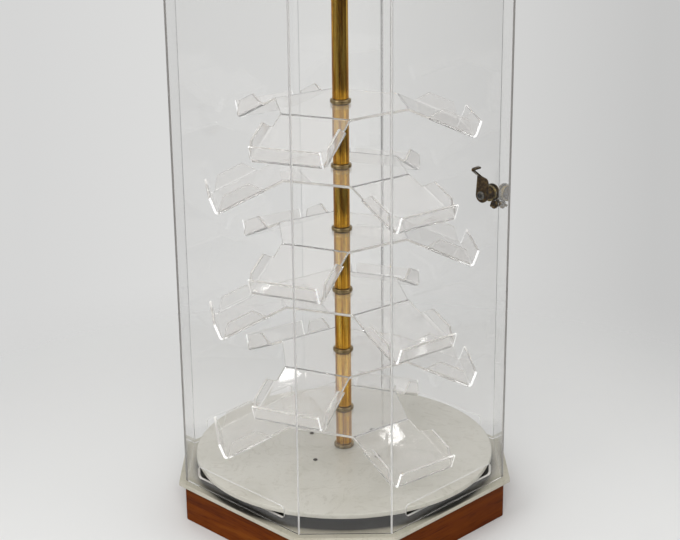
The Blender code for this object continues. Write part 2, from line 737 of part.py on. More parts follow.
door_half = facet_half(DOOR_FACET, WALL_LONG - WALL_THICKNESS, WALL_SHORT - WALL_THICKNESS)
lock_along = LOCK_FROM_EDGE - door_half
lock_face = facet_matrix(DOOR_FACET, WALL_LONG, lock_along, LOCK_Z)
lock_axis = moving_frame("lock_axis", lock_face.translation)
inner_face = -WALL_THICKNESS
barrel_end = inner_face - LOCK_BARREL_REACH
flange_low = SEAT_GAP
flange_high = flange_low + LOCK_FLANGE_HEIGHT
barrel_bore = LOCK_PLUG_RADIUS + RUN_GAP
flange_shoulder = flange_low + LOCK_FLANGE_HEIGHT / 3
barrel_profile = [(barrel_bore, flange_high), (LOCK_FLANGE_RADIUS - SCREW_RADIUS, flange_high),
                  (LOCK_FLANGE_RADIUS, flange_shoulder), (LOCK_FLANGE_RADIUS, flange_low),
                  (LOCK_BARREL_RADIUS, flange_low), (LOCK_BARREL_RADIUS, barrel_end),
                  (barrel_bore, barrel_end)]
place("lock_barrel", turned(barrel_profile, 24), AGED_BRASS, lock_face, door_frame)
lock_hole = rod(LOCK_BARREL_RADIUS + SEAT_GAP, -2 * WALL_THICKNESS, WALL_THICKNESS, 24)
boolean(walls[FACETS[DOOR_FACET]], cutter("lock_hole", lock_hole, lock_face))

nut_low = inner_face - SEAT_GAP - LOCK_NUT_HEIGHT
nut_shape = [circle(LOCK_NUT_RADIUS, 24), circle(LOCK_BARREL_RADIUS + SEAT_GAP, 24)]
place("lock_nut", extruded(nut_shape, LOCK_NUT_HEIGHT), AGED_BRASS,
      lock_face @ Matrix.Translation((0, 0, nut_low)), door_frame)

plug_end = barrel_end - SEAT_GAP
plug = place("lock_plug", rod(LOCK_PLUG_RADIUS, plug_end, flange_high, 20), STEEL, lock_face, lock_axis)
keyway = extruded([rounded_slot(KEYWAY_WIDTH, KEYWAY_LENGTH, KEYWAY_WIDTH * 0.3)], 2 * KEYWAY_DEPTH)
boolean(plug, cutter("keyway", keyway, lock_face @ Matrix.Translation((0, 0, flange_high - KEYWAY_DEPTH))))
screw_bore = rod(CAM_SCREW_RADIUS + SEAT_GAP, -CAM_SCREW_LENGTH, CAM_SCREW_LENGTH, 16)
boolean(plug, cutter("cam_screw_hole", screw_bore, lock_face @ Matrix.Translation((0, 0, plug_end))))

cam_high = plug_end - SEAT_GAP
cam_low = cam_high - CAM_THICKNESS
cam_loop = [(CAM_TIP_HALF_WIDTH, CAM_REACH), (-CAM_TIP_HALF_WIDTH, CAM_REACH)]
for i in range(9):
    angle = math.pi + math.pi * i / 8
    cam_loop.append((CAM_HALF_WIDTH * math.cos(angle), CAM_HALF_WIDTH * math.sin(angle)))
cam_bore = circle(CAM_SCREW_RADIUS + SEAT_GAP, 16)
cam = place("lock_cam", extruded([cam_loop, cam_bore], CAM_THICKNESS), AGED_BRASS,
            lock_face @ Matrix.Translation((0, 0, cam_low)), lock_axis)

# The cam ends in a hook: a strip bent inwards and up, with its tip bent back towards the door.
hook_top = CAM_REACH + HOOK_RISE
hook_in = cam_low - HOOK_DEPTH
hook_root = CAM_REACH - CAM_THICKNESS
hook_side = [(cam_high - SEAT_GAP, hook_root), (hook_in + 1.5 * CAM_THICKNESS, hook_top),
             (hook_in + HOOK_TAB, hook_top), (hook_in + HOOK_TAB, hook_top + CAM_THICKNESS),
             (hook_in, hook_top + CAM_THICKNESS), (hook_in, hook_top - CAM_THICKNESS / 4),
             (cam_low + SEAT_GAP, hook_root)]
side_view = Matrix(((0, 0, 1), (0, 1, 0), (-1, 0, 0))).to_4x4()
hook_mesh = extruded([[(-x, y) for x, y in hook_side]], 2 * HOOK_HALF_WIDTH)
hook = cutter("cam_hook", hook_mesh, lock_face @ Matrix.Translation((-HOOK_HALF_WIDTH, 0, 0)) @ side_view)
boolean(cam, hook, "UNION")

screw_top = cam_low - SEAT_GAP
shank_end = screw_top + CAM_SCREW_LENGTH
place("cam_screw", turned([(0, shank_end), (CAM_SCREW_RADIUS, shank_end), (CAM_SCREW_RADIUS, screw_top),
                           (CAM_SCREW_HEAD_RADIUS, screw_top),
                           (CAM_SCREW_HEAD_RADIUS, screw_top - CAM_SCREW_HEAD_HEIGHT),
                           (0, screw_top - CAM_SCREW_HEAD_HEIGHT)], 16), AGED_BRASS, lock_face, lock_axis)

# The pull knob stands outside the door, near its free edge, on a shank with a round nut at its inner end.
knob_face = facet_matrix(DOOR_FACET, WALL_LONG, KNOB_FROM_EDGE - door_half, LOCK_Z - KNOB_BELOW_LOCK)
knob_low = SEAT_GAP
knob_high = knob_low + KNOB_HEIGHT
tail_end = inner_face - KNOB_TAIL
knob_profile = [(0, knob_high), (KNOB_RADIUS * 0.6, knob_high - KNOB_HEIGHT * 0.07),
                (KNOB_RADIUS, knob_high - KNOB_HEIGHT * 0.3),
                (KNOB_RADIUS * 0.8, knob_high - KNOB_HEIGHT * 0.55),
                (KNOB_NECK_RADIUS, knob_high - KNOB_HEIGHT * 0.7), (KNOB_NECK_RADIUS * 1.3, knob_low),
                (KNOB_SHANK_RADIUS, knob_low), (KNOB_SHANK_RADIUS, tail_end + KNOB_NUT_HEIGHT),
                (KNOB_NUT_RADIUS, tail_end + KNOB_NUT_HEIGHT), (KNOB_NUT_RADIUS, tail_end), (0, tail_end)]
place("door_knob", turned(knob_profile, 20), AGED_BRASS, knob_face, door_frame)
knob_hole = rod(KNOB_SHANK_RADIUS + SEAT_GAP, -2 * WALL_THICKNESS, WALL_THICKNESS, 16)
boolean(walls[FACETS[DOOR_FACET]], cutter("knob_hole", knob_hole, knob_face))
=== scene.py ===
import math

import bmesh
import bpy
from mathutils import Matrix, Vector


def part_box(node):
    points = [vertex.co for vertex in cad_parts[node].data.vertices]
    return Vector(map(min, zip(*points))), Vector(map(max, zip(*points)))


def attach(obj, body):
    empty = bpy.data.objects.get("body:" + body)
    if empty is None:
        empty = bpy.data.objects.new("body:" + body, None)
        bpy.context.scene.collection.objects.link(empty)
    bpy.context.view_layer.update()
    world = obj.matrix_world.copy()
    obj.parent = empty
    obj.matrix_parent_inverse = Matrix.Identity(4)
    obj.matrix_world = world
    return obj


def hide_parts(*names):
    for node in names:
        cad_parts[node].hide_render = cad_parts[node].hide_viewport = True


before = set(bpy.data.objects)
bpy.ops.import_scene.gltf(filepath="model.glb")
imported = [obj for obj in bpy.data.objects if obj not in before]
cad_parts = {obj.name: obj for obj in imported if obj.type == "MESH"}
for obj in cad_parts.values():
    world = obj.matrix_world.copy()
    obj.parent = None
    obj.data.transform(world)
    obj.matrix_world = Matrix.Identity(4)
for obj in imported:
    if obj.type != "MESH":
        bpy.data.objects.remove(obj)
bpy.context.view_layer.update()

# Skirt: eight boards of orange-brown stained hardwood with a satin varnish. They are mitred at the corners
# of the base, with eased edges, and glued up under the plate. The grain runs along each board.
CORNER_CUT = 0.0661
SKIRT_INSET = 0.0060
SKIRT_THICKNESS = 0.0120
SKIRT_SOFT_EDGE = 0.0006
MITRE_TRIM = 0.0002
PLANK_STEP = 0.3
SIDES = ("right", "corner_back_right", "back", "corner_back_left",
         "left", "corner_front_left", "front", "corner_front_right")
plate_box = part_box("base_plate")
BASE_LONG = plate_box[1][0]
BASE_SHORT = (2 * BASE_LONG - CORNER_CUT) / math.sqrt(2)
SKIRT_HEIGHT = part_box("skirt_front")[1][2]


def half_side(k, long_reach, short_reach):
    """Half the length of side k of the eight-sided plan."""
    if k % 2:
        return math.sqrt(2) * long_reach - short_reach
    return math.sqrt(2) * short_reach - long_reach


def side_place(k, reach, along=0.0, height=0.0):
    """A frame on side k: X along it, Y up and Z outwards."""
    angle = k * math.pi / 4
    outward = Vector((math.cos(angle), math.sin(angle), 0))
    side = Vector((-math.sin(angle), math.cos(angle), 0))
    place = Matrix((side, Vector((0, 0, 1)), outward)).transposed().to_4x4()
    place.translation = outward * reach + side * along + Vector((0, 0, height))
    return place


def shown(name, mesh, finishes, place, body, slot, *nodes):
    """Put a mesh in the scene as a piece that rides on a body and stands for the CAD nodes."""
    piece = bpy.data.objects.new(name, mesh)
    bpy.context.scene.collection.objects.link(piece)
    for finish in finishes:
        mesh.materials.append(finish)
    piece.matrix_world = place
    bpy.context.view_layer.update()
    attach(piece, body)
    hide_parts(*nodes)
    return piece


def eased(piece, width, segments=2, angle=30):
    """Round the sharp edges over."""
    bevel = piece.modifiers.new("eased edges", "BEVEL")
    bevel.width = width
    bevel.segments = segments
    bevel.limit_method = "ANGLE"
    bevel.angle_limit = math.radians(angle)
    bevel.harden_normals = True


def blank_finish(name, **values):
    """A material with one Principled shader, its constant values set on the shader's own sockets."""
    finish = bpy.data.materials.new(name)
    finish.use_nodes = True
    shader = finish.node_tree.nodes["Principled BSDF"]
    for socket, value in values.items():
        shader.inputs[socket.replace("_", " ")].default_value = value
    return finish, finish.node_tree, shader


def add(tree, kind, links=None, **values):
    """Add a node, set its named sockets, and link others from (node, output) pairs."""
    made = tree.nodes.new(kind)
    for socket, value in values.items():
        made.inputs[socket.replace("_", " ")].default_value = value
    for socket, (source, output) in (links or {}).items():
        tree.links.new(source.outputs[output], made.inputs[socket])
    return made


def ramp(tree, source, output, *stops):
    """A colour ramp on a value, with (position, colour) stops."""
    made = tree.nodes.new("ShaderNodeValToRGB")
    made.color_ramp.elements[0].position = stops[0][0]
    made.color_ramp.elements[0].color = (*stops[0][1], 1)
    made.color_ramp.elements[1].position = stops[-1][0]
    made.color_ramp.elements[1].color = (*stops[-1][1], 1)
    for position, colour in stops[1:-1]:
        made.color_ramp.elements.new(position).color = (*colour, 1)
    tree.links.new(source.outputs[output], made.inputs["Fac"])
    return made


def spread(tree, source, output, low, high):
    """Map a value from 0..1 to low..high."""
    made = tree.nodes.new("ShaderNodeMapRange")
    made.inputs["To Min"].default_value = low
    made.inputs["To Max"].default_value = high
    tree.links.new(source.outputs[output], made.inputs["Value"])
    return made


def mixed(tree, share, first, second, blend="MIX"):
    """Mix two colours by a share, which is a number or another output."""
    made = tree.nodes.new("ShaderNodeMix")
    made.data_type = "RGBA"
    made.blend_type = blend
    if isinstance(share, float):
        made.inputs["Factor"].default_value = share
    else:
        tree.links.new(share, made.inputs["Factor"])
    tree.links.new(first, made.inputs["A"])
    tree.links.new(second, made.inputs["B"])
    return made.outputs["Result"]


def darkened(tree, tone, shade, share):
    """Darken one node's colour by another's."""
    return mixed(tree, share, tone.outputs["Color"], shade.outputs["Color"], "MULTIPLY")


stained_wood, tree, shader = blank_finish("stained_wood", Specular_IOR_Level=0.05)
where = tree.nodes.new("ShaderNodeTexCoord")
along_board = add(tree, "ShaderNodeMapping", {"Vector": (where, "Object")}, Scale=(5.0, 75.0, 75.0))
figure = add(tree, "ShaderNodeTexNoise", {"Vector": (along_board, "Vector")},
             Scale=1.4, Detail=7.0, Roughness=0.60, Distortion=0.5)
wood_tone = ramp(tree, figure, "Fac", (0.30, (0.080, 0.014, 0.001)), (0.48, (0.128, 0.026, 0.001)),
                 (0.62, (0.165, 0.037, 0.002)), (0.80, (0.220, 0.060, 0.005)))
along_pores = add(tree, "ShaderNodeMapping", {"Vector": (where, "Object")}, Scale=(45.0, 800.0, 800.0))
pores = add(tree, "ShaderNodeTexNoise", {"Vector": (along_pores, "Vector")}, Scale=1.0, Detail=2.0)
pore_shade = ramp(tree, pores, "Fac", (0.36, (0.50, 0.44, 0.40)), (0.47, (1.0, 1.0, 1.0)))
stain = darkened(tree, wood_tone, pore_shade, 0.6)
tree.links.new(stain, shader.inputs["Base Color"])
satin = spread(tree, figure, "Fac", 0.36, 0.52)
tree.links.new(satin.outputs["Result"], shader.inputs["Roughness"])
grain_bump = add(tree, "ShaderNodeBump", {"Height": (pores, "Fac")}, Strength=0.12, Distance=0.0004)
tree.links.new(grain_bump.outputs["Normal"], shader.inputs["Normal"])

for k, side_name in enumerate(SIDES):
    reach = (BASE_SHORT if k % 2 else BASE_LONG) - SKIRT_INSET
    skirt_back = SKIRT_INSET + SKIRT_THICKNESS
    outer = half_side(k, BASE_LONG - SKIRT_INSET, BASE_SHORT - SKIRT_INSET) - MITRE_TRIM
    inner = half_side(k, BASE_LONG - skirt_back, BASE_SHORT - skirt_back) - MITRE_TRIM
    # Each board lies on its own stretch of the plank's grain.
    stretch = PLANK_STEP * k
    board = bmesh.new()
    bmesh.ops.create_cube(board, size=1.0)
    for v in board.verts:
        v.co.x = stretch + math.copysign(outer if v.co.z > 0 else inner, v.co.x)
        v.co.y = SKIRT_HEIGHT if v.co.y > 0 else 0.0
        v.co.z = 0.0 if v.co.z > 0 else -SKIRT_THICKNESS
    mesh = bpy.data.meshes.new("skirt_" + side_name)
    board.to_mesh(mesh)
    board.free()
    place = side_place(k, reach) @ Matrix.Translation((-stretch, 0, 0))
    eased(shown("skirt_board_" + side_name, mesh, [stained_wood], place, "case", "walnut",
                "skirt_" + side_name), SKIRT_SOFT_EDGE)

# Base plate: a sheet of off-white laminate, cut eight-sided, that overhangs the skirt by a few millimetres.
# Its edges are lightly rounded. Its top is painted with shade: nearly black under the turntable, and darker
# just round it.
PLATE_LOW = plate_box[0][2]
PLATE_TOP = plate_box[1][2]
PLATE_SOFT_EDGE = 0.0006
DISC_SHADE_RADIUS = 0.154
DISC_SHADE_FADE = 0.005
DISC_SHADE_END = 0.172


def plan_corners(long_reach, short_reach):
    """The eight corners of the plan, each between a side and the next."""
    near = half_side(0, long_reach, short_reach)
    quarter = [(long_reach, near), (near, long_reach)]
    corners = []
    for _ in range(4):
        corners += quarter
        quarter = [(-y, x) for x, y in quarter]
    return corners


def cut_sheet(name, loops, thickness):
    """A sheet cut to an outline, with its holes as further loops, from z = 0 up."""
    curve = bpy.data.curves.new(name, "CURVE")
    curve.dimensions = "2D"
    curve.fill_mode = "BOTH"
    curve.extrude = thickness / 2
    for loop in loops:
        spline = curve.splines.new("POLY")
        spline.points.add(len(loop) - 1)
        for point, (x, y) in zip(spline.points, loop):
            point.co = (x, y, 0, 1)
        spline.use_cyclic_u = True
    holder = bpy.data.objects.new(name, curve)
    bpy.context.scene.collection.objects.link(holder)
    mesh = bpy.data.meshes.new_from_object(holder.evaluated_get(bpy.context.evaluated_depsgraph_get()))
    bpy.data.objects.remove(holder)
    bpy.data.curves.remove(curve)
    work = bmesh.new()
    work.from_mesh(mesh)
    bmesh.ops.remove_doubles(work, verts=work.verts, dist=1e-6)
    bmesh.ops.dissolve_limit(work, angle_limit=math.radians(0.5), verts=work.verts, edges=work.edges)
    bmesh.ops.recalc_face_normals(work, faces=work.faces)
    bmesh.ops.translate(work, verts=work.verts, vec=(0, 0, thickness / 2))
    work.to_mesh(mesh)
    work.free()
    mesh.name = name
    return mesh


def node_group(name, inputs, outputs):
    """An empty node group with value sockets, and its entry and exit nodes."""
    group = bpy.data.node_groups.new(name, "ShaderNodeTree")
    for title in inputs:
        group.interface.new_socket(title, in_out="INPUT", socket_type="NodeSocketFloat")
    for title in outputs:
        group.interface.new_socket(title, in_out="OUTPUT", socket_type="NodeSocketFloat")
    return group, group.nodes.new("NodeGroupInput"), group.nodes.new("NodeGroupOutput")


def placed(tree, group, **values):
    """Place a node group in a material, with its own values."""
    made = tree.nodes.new("ShaderNodeGroup")
    made.node_tree = group
    for socket, value in values.items():
        made.inputs[socket.replace("_", " ")].default_value = value
    return made


# Worn laminate: a mask of cloudy grime and one of fine scuffs, for the plate and the disc alike.
laminate_wear, entry, leave = node_group("laminate_wear", ("Cloud Scale", "Scuff Scale"), ("Grime", "Scuffs"))
where = laminate_wear.nodes.new("ShaderNodeTexCoord")
cloud = add(laminate_wear, "ShaderNodeTexNoise",
            {"Vector": (where, "Object"), "Scale": (entry, "Cloud Scale")}, Detail=6.0, Roughness=0.65)
grime = ramp(laminate_wear, cloud, "Fac", (0.42, (0, 0, 0)), (0.72, (1, 1, 1)))
rub = add(laminate_wear, "ShaderNodeTexNoise",
          {"Vector": (where, "Object"), "Scale": (entry, "Scuff Scale")}, Detail=4.0, Distortion=6.0)
scuff = ramp(laminate_wear, rub, "Fac", (0.56, (0, 0, 0)), (0.60, (1, 1, 1)), (0.64, (0, 0, 0)))
laminate_wear.links.new(grime.outputs["Color"], leave.inputs["Grime"])
laminate_wear.links.new(scuff.outputs["Color"], leave.inputs["Scuffs"])


def laminate(name, clean, dirty, scuff_scale):
    """Off-white laminate with its own two colours, dulled where it is scuffed, and its colour's output."""
    finish, tree, shader = blank_finish(name, Specular_IOR_Level=0.4)
    wear = placed(tree, laminate_wear, Cloud_Scale=14.0, Scuff_Scale=scuff_scale)
    tone = ramp(tree, wear, "Grime", (0.0, clean), (1.0, dirty))
    rubbed = ramp(tree, wear, "Scuffs", (0.0, (1.0, 1.0, 1.0)), (1.0, (0.88, 0.87, 0.85)))
    marked = darkened(tree, tone, rubbed, 1.0)
    tree.links.new(marked, shader.inputs["Base Color"])
    dull = spread(tree, wear, "Scuffs", 0.34, 0.55)
    tree.links.new(dull.outputs["Result"], shader.inputs["Roughness"])
    skin = tree.nodes.new("ShaderNodeTexNoise")
    skin.inputs["Scale"].default_value = 900.0
    pebble = add(tree, "ShaderNodeBump", {"Height": (skin, "Fac")}, Strength=0.05, Distance=0.0002)
    tree.links.new(pebble.outputs["Normal"], shader.inputs["Normal"])
    return finish, marked


def from_middle(tree):
    """How far a point is from the Z axis of its own object."""
    where = tree.nodes.new("ShaderNodeTexCoord")
    flat = add(tree, "ShaderNodeMapping", {"Vector": (where, "Object")}, Scale=(1.0, 1.0, 0.0))
    length = tree.nodes.new("ShaderNodeVectorMath")
    length.operation = "LENGTH"
    tree.links.new(flat.outputs["Vector"], length.inputs[0])
    return length


plate_laminate, marked = laminate("plate_laminate", (0.56, 0.53, 0.44), (0.47, 0.44, 0.35), 30.0)
tree = plate_laminate.node_tree
# Painted shade on the plate's top: nearly black under the disc, rising past its rim to a little under full
# colour; the rounded edges are not shaded.
painted_disc_shade = ramp(tree, from_middle(tree), "Value", (DISC_SHADE_RADIUS - DISC_SHADE_FADE, (0.03, 0.028, 0.025)),
                   (DISC_SHADE_RADIUS, (0.72, 0.71, 0.69)), (DISC_SHADE_END, (0.90, 0.90, 0.89)))
where = tree.nodes.new("ShaderNodeTexCoord")
part = add(tree, "ShaderNodeSeparateXYZ", {"Vector": (where, "Object")})
on_top = add(tree, "ShaderNodeMapRange", {"Value": (part, "Z")},
             From_Min=PLATE_TOP - PLATE_LOW - PLATE_SOFT_EDGE, From_Max=PLATE_TOP - PLATE_LOW)
wear_and_painted_shade = mixed(tree, on_top.outputs["Result"], marked, painted_disc_shade.outputs["Color"], "MULTIPLY")
tree.links.new(wear_and_painted_shade, tree.nodes["Principled BSDF"].inputs["Base Color"])
plate = cut_sheet("base_plate", [plan_corners(BASE_LONG, BASE_SHORT)], PLATE_TOP - PLATE_LOW)
eased(shown("base_plate_sheet", plate, [plate_laminate], Matrix.Translation((0, 0, PLATE_LOW)),
            "case", "white_laminate", "base_plate"), PLATE_SOFT_EDGE)

# Turntable bearing: two pressed zinc-plated races with raised lips, and a cage of balls between them.
# The lower race is fixed to the plate and the upper one to the disc, in the dark under it.
RACE_THICKNESS = 0.0015
RACE_LIP_HEIGHT = 0.0034
RACE_INNER_RADIUS = 0.0250
RACE_OUTER_RADIUS = 0.0520
RACE_LIPS = (0.0294, 0.0386)


def smoothed(mesh, angle=30):
    """Shade a mesh smooth, apart from its sharp edges."""
    mesh.shade_smooth()
    mesh.set_sharp_from_angle(angle=math.radians(angle))
    return mesh


def turned(name, profile, steps):
    """A closed profile of (radius, height) points turned about Z."""
    mesh = bpy.data.meshes.new(name)
    count = len(profile)
    edges = [(i, (i + 1) % count) for i in range(count)]
    mesh.from_pydata([(r, 0, z) for r, z in profile], edges, [])
    holder = bpy.data.objects.new(name, mesh)
    bpy.context.scene.collection.objects.link(holder)
    screw = holder.modifiers.new("turn", "SCREW")
    screw.steps = steps
    screw.render_steps = steps
    screw.use_merge_vertices = True
    screw.merge_threshold = 1e-6
    made = bpy.data.meshes.new_from_object(holder.evaluated_get(bpy.context.evaluated_depsgraph_get()))
    bpy.data.objects.remove(holder)
    bpy.data.meshes.remove(mesh)
    work = bmesh.new()
    work.from_mesh(made)
    bmesh.ops.remove_doubles(work, verts=work.verts, dist=1e-6)
    bmesh.ops.recalc_face_normals(work, faces=work.faces)
    work.to_mesh(made)
    work.free()
    made.name = name
    return smoothed(made, 35)


def rounded_corner(centre, radius, start, stop, steps):
    """Points along an arc in the profile plane, in degrees."""
    points = []
    for i in range(steps + 1):
        angle = math.radians(start + (stop - start) * i / steps)
        points.append((centre[0] + radius * math.cos(angle), centre[1] + radius * math.sin(angle)))
    return points


zinc, tree, shader = blank_finish("dull_zinc", Metallic=1.0)
spangle = tree.nodes.new("ShaderNodeTexVoronoi")
spangle.inputs["Scale"].default_value = 220.0
zinc_tone = ramp(tree, spangle, "Distance", (0.0, (0.50, 0.50, 0.49)), (1.0, (0.36, 0.36, 0.36)))
tree.links.new(zinc_tone.outputs["Color"], shader.inputs["Base Color"])
zinc_dull = spread(tree, spangle, "Distance", 0.30, 0.48)
tree.links.new(zinc_dull.outputs["Result"], shader.inputs["Roughness"])

for node, body, sign in (("bearing_lower_race", "case", 1), ("bearing_upper_race", "turntable", -1)):
    low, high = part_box(node)
    seat = low[2] if sign > 0 else high[2]
    profile = [(RACE_INNER_RADIUS, 0.0), (RACE_OUTER_RADIUS, 0.0), (RACE_OUTER_RADIUS, RACE_THICKNESS)]
    for lip in reversed(RACE_LIPS):
        half = RACE_THICKNESS / 2
        profile += [(lip + half, RACE_THICKNESS), (lip + half, RACE_LIP_HEIGHT - half)]
        profile += rounded_corner((lip, RACE_LIP_HEIGHT - half), half, 0, 180, 6)[1:]
        profile += [(lip - half, RACE_THICKNESS)]
    profile += [(RACE_INNER_RADIUS, RACE_THICKNESS)]
    race = turned(node, [(r, sign * z) for r, z in profile], 96)
    shown("pressed_" + node, race, [zinc], Matrix.Translation((0, 0, seat)), body, "zinc_steel", node)
for node in ("bearing_ball_cage", "rod_nut", "pole_rod"):
    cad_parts[node].material_slots[0].material = zinc

# Turntable disc: a round board of pale grey-white laminate with its rim rounded over. It is turned by hand
# at the slots, and years of turning have scuffed it.
DISC_SOFT_EDGE = 0.0011
disc_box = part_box("turntable_disc")
DISC_RADIUS = disc_box[1][0]
DISC_LOW = disc_box[0][2]
DISC_TOP = disc_box[1][2]
ROD_HOLE = 0.0043
disc_laminate = laminate("disc_laminate", (0.585, 0.565, 0.50), (0.50, 0.48, 0.41), 22.0)[0]
edge_reach = DISC_RADIUS - DISC_SOFT_EDGE
thickness = DISC_TOP - DISC_LOW
rim = rounded_corner((edge_reach, thickness - DISC_SOFT_EDGE), DISC_SOFT_EDGE, 90, 0, 5)
rim += rounded_corner((edge_reach, DISC_SOFT_EDGE), DISC_SOFT_EDGE, 0, -90, 5)
disc = turned("turntable_disc", [(ROD_HOLE, thickness)] + rim + [(ROD_HOLE, 0.0)], 192)
shown("disc_board", disc, [disc_laminate], Matrix.Translation((0, 0, DISC_LOW)), "turntable",
      "white_laminate", "turntable_disc")

# Disc screws: slotted steel pan heads, dark with age, at four places round the pole. They hold the disc to
# the upper race.
SCREW_COUNT = 4
SCREW_HEAD_RADIUS = 0.0023
SCREW_HEAD_SEAT = 0.0003
SCREW_DOME_SHARE = 0.7
SCREW_SHANK_RADIUS = 0.0018
SCREW_SLOT_WIDTH = 0.0007
SCREW_SLOT_DEPTH = 0.0006
SCREW_SLOT_TURN = 1.1


def box_mesh(width, depth, low, high):
    """A box centred on Z, between two heights."""
    work = bmesh.new()
    bmesh.ops.create_cube(work, size=1.0)
    for v in work.verts:
        v.co = Vector((v.co.x * width, v.co.y * depth, high if v.co.z > 0 else low))
    mesh = bpy.data.meshes.new("cutter")
    work.to_mesh(mesh)
    work.free()
    return mesh


def cut_away(mesh, tool_mesh):
    """Take the tool's shape out of a mesh."""
    piece = bpy.data.objects.new("work", mesh)
    tool = bpy.data.objects.new("tool", tool_mesh)
    for holder in (piece, tool):
        bpy.context.scene.collection.objects.link(holder)
    cut = piece.modifiers.new("cut", "BOOLEAN")
    cut.operation = "DIFFERENCE"
    cut.object = tool
    bpy.context.view_layer.update()
    made = bpy.data.meshes.new_from_object(piece.evaluated_get(bpy.context.evaluated_depsgraph_get()))
    bpy.data.objects.remove(piece)
    bpy.data.objects.remove(tool)
    bpy.data.meshes.remove(tool_mesh)
    made.name = mesh.name
    return smoothed(made, 35)


dark_steel, tree, shader = blank_finish("dark_screw_steel", Metallic=1.0)
rust = tree.nodes.new("ShaderNodeTexNoise")
rust.inputs["Scale"].default_value = 700.0
rust_tone = ramp(tree, rust, "Fac", (0.35, (0.10, 0.08, 0.06)), (0.65, (0.04, 0.035, 0.03)))
tree.links.new(rust_tone.outputs["Color"], shader.inputs["Base Color"])
rust_dull = spread(tree, rust, "Fac", 0.35, 0.6)
tree.links.new(rust_dull.outputs["Result"], shader.inputs["Roughness"])

for number in range(1, SCREW_COUNT + 1):
    node = "disc_screw_%d" % number
    low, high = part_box(node)
    head = high[2] - DISC_TOP
    profile = [(0.0, head), (SCREW_HEAD_RADIUS * 0.55, head * 0.97)]
    dome = head * SCREW_DOME_SHARE
    profile += rounded_corner((SCREW_HEAD_RADIUS - dome, SCREW_HEAD_SEAT), dome, 75, 0, 5)
    profile += [(SCREW_HEAD_RADIUS, SCREW_HEAD_SEAT), (SCREW_SHANK_RADIUS, SCREW_HEAD_SEAT),
                (SCREW_SHANK_RADIUS, low[2] - DISC_TOP), (0.0, low[2] - DISC_TOP)]
    slot = box_mesh(3 * SCREW_HEAD_RADIUS, SCREW_SLOT_WIDTH, head - SCREW_SLOT_DEPTH, 2 * head)
    screw = cut_away(turned(node, profile, 32), slot)
    middle = [(low[i] + high[i]) / 2 for i in (0, 1)]
    place = Matrix.Translation((*middle, DISC_TOP)) @ Matrix.Rotation(number * SCREW_SLOT_TURN, 4, "Z")
    shown("slotted_" + node, screw, [dark_steel], place, "turntable", "zinc_steel", node)

# Pole tubes: polished brass tubes over the rod, which space the tiers. They are streaky from drawing and
# handling, with brown tarnish that deepens in patches.
TIER_COUNT = 6
TUBE_BORE = 0.0065
TUBE_LIP = 0.0004

# Brass age: streaks along the pole and spots of tarnish, for the tubes, the rings and the lock.
brass_age, entry, leave = node_group("brass_age", ("Streak Scale", "Spot Scale"), ("Streaks", "Spots"))
where = brass_age.nodes.new("ShaderNodeTexCoord")
drawn = add(brass_age, "ShaderNodeMapping", {"Vector": (where, "Object")}, Scale=(1.0, 1.0, 0.03))
lines = add(brass_age, "ShaderNodeTexNoise",
            {"Vector": (drawn, "Vector"), "Scale": (entry, "Streak Scale")}, Detail=5.0, Roughness=0.6)
blotch = add(brass_age, "ShaderNodeTexNoise",
             {"Vector": (where, "Object"), "Scale": (entry, "Spot Scale")}, Detail=6.0, Roughness=0.65)
brass_age.links.new(lines.outputs["Fac"], leave.inputs["Streaks"])
brass_age.links.new(blotch.outputs["Fac"], leave.inputs["Spots"])


def brass(name, streak_scale, spot_scale, dark, middle, light, rough, shiny):
    """Brass with its own colours: streaks from dark to light, browner and duller in spots."""
    finish, tree, shader = blank_finish(name, Metallic=1.0)
    age = placed(tree, brass_age, Streak_Scale=streak_scale, Spot_Scale=spot_scale)
    tone = ramp(tree, age, "Streaks", (0.38, dark), (0.50, middle), (0.62, light))
    brown = ramp(tree, age, "Spots", (0.55, (1.0, 1.0, 1.0)), (0.70, (0.50, 0.40, 0.30)))
    aged = darkened(tree, tone, brown, 0.8)
    tree.links.new(aged, shader.inputs["Base Color"])
    handled = spread(tree, age, "Spots", shiny, rough)
    tree.links.new(handled.outputs["Result"], shader.inputs["Roughness"])
    return finish


tube_brass = brass("polished_brass", 320.0, 60.0,
                   (0.25, 0.085, 0.003), (0.58, 0.28, 0.018), (0.84, 0.56, 0.11), 0.30, 0.08)
for number in [str(tier) for tier in range(1, TIER_COUNT + 1)] + ["top"]:
    node = "pole_tube_" + number
    low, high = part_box(node)
    radius = high[0]
    length = high[2] - low[2]
    profile = [(TUBE_BORE, length), (radius - TUBE_LIP, length), (radius, length - TUBE_LIP),
               (radius, TUBE_LIP), (radius - TUBE_LIP, 0.0), (TUBE_BORE, 0.0)]
    shown("brass_tube_" + number, turned(node, profile, 64), [tube_brass],
          Matrix.Translation((0, 0, low[2])), "turntable", "brass", node)

# Pole rings: turned brass collars above each tier and at the foot of the pole, with a rounded outside.
# They are less handled than the tubes, and have tarnished darker.
RING_SOFT_EDGE = 0.0012
ring_brass = brass("tarnished_brass", 300.0, 170.0,
                   (0.19, 0.135, 0.060), (0.29, 0.215, 0.105), (0.40, 0.31, 0.16), 0.42, 0.20)
for node in ["pole_ring_%d" % tier for tier in range(1, TIER_COUNT + 1)] + ["pole_foot_ring"]:
    low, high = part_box(node)
    height = high[2] - low[2]
    reach = high[0] - RING_SOFT_EDGE
    profile = [(ROD_HOLE, height)]
    profile += rounded_corner((reach, height - RING_SOFT_EDGE), RING_SOFT_EDGE, 90, 0, 5)
    profile += rounded_corner((reach, RING_SOFT_EDGE), RING_SOFT_EDGE, 0, -90, 5)
    profile += [(ROD_HOLE, 0.0)]
    shown("brass_" + node, turned(node, profile, 64), [ring_brass],
          Matrix.Translation((0, 0, low[2])), "turntable", "aged_brass", node)

